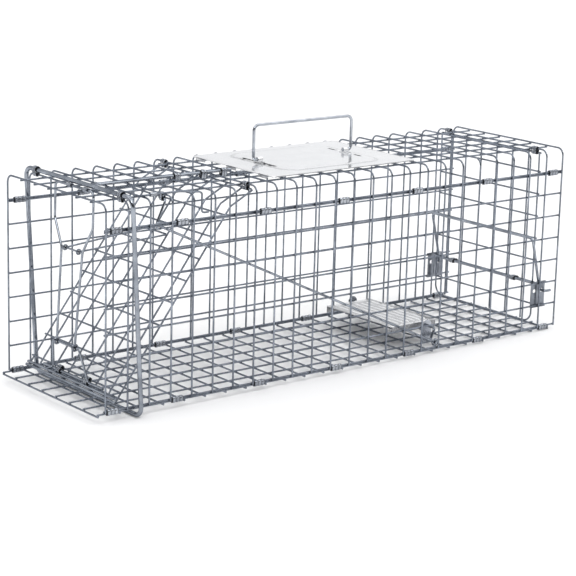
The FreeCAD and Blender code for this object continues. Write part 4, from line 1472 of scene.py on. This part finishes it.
        # Painted shade: a dark line along the raised panel's edge; troughs, rims and lips get
        # theirs as they are turned down.
        paint = mesh.verts.layers.float.new(PAINTED_SHADE_LAYER)
        start, end = self.edge_line_shade_span
        for vert in mesh.verts:
            depth = self.panel_depth(vert.co.x, vert.co.y)
            edge_shade = ramp(depth, start, self.panel_lead) * (1 - ramp(depth, self.panel_lead, end))
            vert.co.z = self.height(vert.co.x, vert.co.y)
            vert[paint] = self.edge_line_shade * edge_shade
        pressed.sink(mesh, paint, self.trough)
        pressed.fold_sides(mesh, paint, self.rim_profile)
        front_x = (-self.length / 2, -self.length / 2)
        for middle in self.lips:
            lip = (middle - self.lip_length / 2, middle + self.lip_length / 2)
            pressed.fold(mesh, paint, front_x, lip, self.lip_profile)
        level = self.grid.roof_z + self.grid.wire_r + self.rise + self.sheet
        place = self.grid.at(self.centre_cells * self.grid.pitch, self.grid.width / 2, level)
        bmesh.ops.translate(mesh, verts=mesh.verts, vec=place)
        piece = finished_piece(mesh, "guard_plate_pressed", "cage", SHEET_ANGLE)
        add_wall(piece, self.sheet)
        self.finishes.give(piece, GUARD_SHEET)
        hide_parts("roof_plate")
        LOG.info("guard plate pressed")


@dataclass
class TreadlePan:
    """The treadle's pan: rounded ribs across it and a skirt along each side, with painted shade in
    the rib valleys and along the skirts' folds.
    """

    finishes: Finishes
    grid: CageGrid = GRID
    length: float = 63.5 * MILLI
    width: float = 112.0 * MILLI
    sheet: float = 1.0 * MILLI
    skirt: float = 7.0 * MILLI
    ribs: int = 7
    rib_width: float = 4.0 * MILLI
    rib_rise: float = 1.0 * MILLI
    rib_cuts: tuple[float, ...] = (-1, -0.5, 0, 0.5, 1)
    rib_end: float = 2.0 * MILLI
    cell: float = 6.0 * MILLI
    # Painted shade in the valleys between the ribs and along the skirts' folds.
    valley_shade: float = 0.3
    valley_share: float = 0.4
    skirt_turn: float = 0.5 * MILLI
    skirt_fold_shade: Pair = (0.5, 0.2)
    front_cells: float = 15.5
    axle_height: float = 17.5 * MILLI

    @property
    def rib_middles(self) -> list[float]:
        """Places of the ribs along the length."""
        count = self.ribs + 1
        return [-self.length / 2 + self.length * index / count for index in range(1, count)]

    def height(self, x: float, y: float) -> float:
        """Height of the upper face over the flat sheet.

        Args:
            x: place along the length.
            y: place along the width.

        Returns:
            The height.
        """
        inside = ramp(self.width / 2 - self.skirt - abs(y), 0.0, self.rib_end)
        lift = 0.0
        for middle in self.rib_middles:
            away = abs(x - middle) / (self.rib_width / 2)
            if away < 1:
                lift = max(lift, 0.5 + 0.5 * math.cos(math.pi * away))
        return self.rib_rise * lift * inside

    def build(self) -> None:
        """Build the pan."""
        pressed = PressedSheet(self.length, self.width, 0.0, cell=self.cell)
        half_rib = self.rib_width / 2
        x_cuts = [middle + t * half_rib for middle in self.rib_middles for t in self.rib_cuts]
        edge = self.width / 2 - self.skirt
        ends = (0.0, self.rib_end / 2, self.rib_end)
        y_cuts = [way * (edge - inset) for way in BOTH_WAYS for inset in ends]
        mesh = pressed.blank(x_cuts, y_cuts)
        paint = mesh.verts.layers.float.new(PAINTED_SHADE_LAYER)
        # Painted shade: dark in the valleys between the ribs, and along the skirts as they are
        # turned down.
        for vert in mesh.verts:
            vert.co.z = self.height(vert.co.x, vert.co.y)
            valley = 1 - ramp(vert.co.z, 0.0, self.valley_share * self.rib_rise)
            vert[paint] = self.valley_shade * valley * float(abs(vert.co.y) < edge)
        turn_shade, skirt_end_shade = self.skirt_fold_shade
        profile = ((self.skirt_turn, turn_shade), (self.skirt + self.skirt_turn, skirt_end_shade))
        pressed.fold_sides(mesh, paint, profile)
        level = self.axle_height + self.grid.rod_r + self.sheet
        middle_x = self.front_cells * self.grid.pitch + self.length / 2
        place = self.grid.at(middle_x, self.grid.width / 2, level)
        bmesh.ops.translate(mesh, verts=mesh.verts, vec=place)
        piece = finished_piece(mesh, "treadle_pan_pressed", "treadle", SHEET_ANGLE)
        add_wall(piece, self.sheet)
        self.finishes.give(piece, GUARD_SHEET)
        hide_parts("treadle_pan")
        LOG.info("treadle pan pressed")


@dataclass
class CarriedOver:
    """The pieces that keep their shape and only get their finish."""

    finishes: Finishes
    wires: tuple[str, ...] = (
        "floor_panel",
        "near_side_panel",
        "far_side_panel",
        "roof_panel",
        "front_door_mesh",
        "rear_door_mesh",
        "yoke_tie",
        "catch_hook",
    )
    rods: tuple[str, ...] = (
        "roof_rod",
        "front_door_foot_rods",
        "lock_cross_rod",
        "rear_door_brace",
        "front_hoop",
        "lock_yoke",
        "lock_link",
        "rear_bail",
        "treadle_axle",
        "trigger_rod",
        "trigger_catch",
    )
    polished: tuple[str, ...] = ("carry_handle",)
    rolled: tuple[str, ...] = ("yoke_rings", "catch_hook_sleeve", "treadle_brackets")
    bright: tuple[str, ...] = ("handle_saddles",)
    plates: tuple[str, ...] = ("near_latch_plate", "far_latch_plate")

    def build(self) -> None:
        """Dress every piece."""
        for names, finish in (
            (self.wires, WELDED_WIRE),
            (self.rods, DRAWN_ROD),
            (self.polished, POLISHED_ROD),
            (self.rolled, CRIMPED_SHEET),
            (self.bright, GUARD_SHEET),
            (self.plates, LATCH_SHEET),
        ):
            for name in names:
                self.finishes.give(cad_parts[name], finish)
                LOG.info("%s dressed in %s", name, finish.name)


@dataclass(frozen=True)
class PaperFinish:
    """Matt white studio paper."""

    name: str = "studio_paper"
    colour: Triple = (0.95, 0.95, 0.955)
    shade: Triple = (0.94, 0.94, 0.946)
    grain: Triple = (240.0, 4.0, 0.6)
    rough: Pair = (0.85, 0.95)
    gloss: float = 0.1
    relief_strength: float = 0.05
    relief_depth: float = 0.1 * MILLI

    def material(self) -> bpy.types.Material:
        """Build the material.

        Returns:
            The new material.
        """
        board = NodeBoard(self.name)
        grain = board.noise(self.grain)
        colour = board.tinted(grain, self.colour, self.shade)
        board.link(colour, board.shader.inputs["Base Color"])
        board.link(board.spread(grain, FULL, self.rough), board.shader.inputs["Roughness"])
        board.shader.inputs["Specular IOR Level"].default_value = self.gloss
        board.relief(grain, self.relief_strength, self.relief_depth)
        return board.material


@dataclass
class Studio:
    """A white floor under the hoop's foot and the floor's rear, a pale room and one soft lamp."""

    paper: PaperFinish = field(default_factory=PaperFinish)
    hoop_foot: Pair = (-0.264, 0.0)
    rear_foot: Pair = (0.301, 0.00644)
    floor_size: float = 30.0
    floor_cells: int = 12
    floor_gap: float = 0.1 * MILLI
    camera_side: Triple = (-0.6243, -0.7812, 0.0)
    camera_right: Triple = (0.7812, -0.6243, 0.0)
    ceiling_level: float = 1.9
    ceiling_span: Pair = (0.5, 0.85)
    gap_share: float = 0.28
    gap_span: Pair = (0.93, 0.98)
    backdrop_levels: Pair = (0.86, 1.06)
    backdrop_span: Pair = (-0.2, 0.15)
    dark_level: float = 0.12
    dark_span: Pair = (0.0, 0.4)
    dark_top_span: Pair = (0.42, 0.64)
    key_place: Triple = (-1.6, -1.3, 2.0)
    key_aim: Triple = (0.0, 0.0, 0.1)
    key_size: float = 0.7
    key_power: float = 10.0

    def build(self) -> None:
        """Build the floor, the room and the lamp."""
        self.floor()
        self.room()
        self.key_lamp()
        LOG.info("studio ready")

    def floor(self) -> None:
        """Lay the paper."""
        slope = (self.rear_foot[1] - self.hoop_foot[1]) / (self.rear_foot[0] - self.hoop_foot[0])
        mesh = bmesh.new()
        cells = self.floor_cells
        bmesh.ops.create_grid(mesh, x_segments=cells, y_segments=cells, size=self.floor_size / 2)
        turn = Matrix.Rotation(-math.atan(slope), 4, "Y")
        place = Matrix.Translation((self.hoop_foot[0], 0.0, self.hoop_foot[1] - self.floor_gap))
        bmesh.ops.transform(mesh, matrix=place @ turn, verts=mesh.verts)
        floor = new_object("studio_floor", mesh_data(mesh, "studio_floor"))
        floor.data.materials.append(self.paper.material())

    def room(self) -> None:
        """Light the room: bright backdrop and ceiling, a dim gap overhead, a dark camera side."""
        world = bpy.data.worlds.new("studio_room")
        bpy.context.scene.world = world
        world.use_nodes = True
        graph = NodeGraph(world.node_tree)
        output = graph.tree.nodes.new("ShaderNodeOutputWorld")
        light = graph.tree.nodes.new("ShaderNodeBackground")
        place = graph.tree.nodes.new("ShaderNodeTexCoord").outputs["Generated"]
        height = self.along(graph, place, Z_AXIS)
        right = self.along(graph, place, self.camera_right)
        toward = self.along(graph, place, self.camera_side)
        ceiling = graph.spread(height, self.ceiling_span, (1.0, self.ceiling_level), smooth=True)
        gap = graph.spread(height, self.gap_span, (1.0, self.gap_share), smooth=True)
        slope = graph.spread(right, self.backdrop_span, self.backdrop_levels, smooth=True)
        behind = graph.spread(toward, self.dark_span, smooth=True)
        below = graph.spread(height, self.dark_top_span, (1.0, 0.0), smooth=True)
        shade = graph.joined(behind, below, Join.PRODUCT)
        kept = graph.spread(shade, FULL, (1.0, self.dark_level), smooth=True)
        level = ceiling
        for factor in (gap, slope, kept):
            level = graph.joined(level, factor, Join.PRODUCT)
        light.inputs["Color"].default_value = (1.0, 1.0, 1.0, 1.0)
        graph.link(level, light.inputs["Strength"])
        graph.link(light.outputs["Background"], output.inputs["Surface"])

    @staticmethod
    def along(graph: NodeGraph, place: Socket, direction: Vector | Triple) -> Socket:
        """How far a view direction points along a fixed one, from -1 to 1.

        Args:
            graph: the world's nodes.
            place: the view direction.
            direction: the fixed direction.

        Returns:
            The value.
        """
        node = graph.tree.nodes.new("ShaderNodeVectorMath")
        node.operation = "DOT_PRODUCT"
        node.inputs[1].default_value = direction
        graph.link(place, node.inputs[0])
        return node.outputs["Value"]

    def key_lamp(self) -> None:
        """Hang the soft lamp that points at the cage."""
        data = bpy.data.lights.new("key", "AREA")
        data.shape = "RECTANGLE"
        data.size = data.size_y = self.key_size
        data.energy = self.key_power
        lamp = new_object("key", data)
        lamp.location = self.key_place
        lamp.rotation_mode = "QUATERNION"
        aim = Vector(self.key_aim) - Vector(self.key_place)
        lamp.rotation_quaternion = aim.to_track_quat("-Z", "Y")


@dataclass(frozen=True)
class PhotoCamera:
    """The camera at the photograph's place."""

    place: Triple = (-1.307275, -1.624393, 0.588166)
    azimuth: float = 38.632
    down: float = 13.81
    roll: float = 1.483
    lens: float = 124.6
    sensor: float = 36.0
    clip: Pair = (0.01, 60.0)

    def build(self) -> None:
        """Set up the camera."""
        a, e, r = (math.radians(value) for value in (self.azimuth, self.down, self.roll))
        ahead = Vector((math.sin(a) * math.cos(e), math.cos(a) * math.cos(e), -math.sin(e)))
        flat_right = Vector((math.cos(a), -math.sin(a), 0.0))
        flat_up = flat_right.cross(ahead)
        right = flat_right * math.cos(r) + flat_up * math.sin(r)
        up = flat_up * math.cos(r) - flat_right * math.sin(r)
        data = bpy.data.cameras.new("photo_camera")
        data.lens = self.lens
        data.sensor_width = self.sensor
        data.clip_start, data.clip_end = self.clip
        camera = new_object("photo_camera", data)
        turn = Matrix((right, up, -ahead)).transposed().to_4x4()
        camera.matrix_world = Matrix.Translation(self.place) @ turn
        bpy.context.scene.camera = camera
        LOG.info("camera ready")


def main() -> None:
    """Build the scene in order."""
    logging.basicConfig(level=logging.INFO, format="%(name)s: %(message)s")
    bpy.context.scene.view_settings.view_transform = "Standard"
    PhotoCamera().build()
    finishes = Finishes()
    CarriedOver(finishes).build()
    WeldBeads(finishes).build()
    CrimpedSleeves(finishes).build()
    GuardPlate(finishes).build()
    TreadlePan(finishes).build()
    Studio().build()


if __name__ == "__main__":
    main()
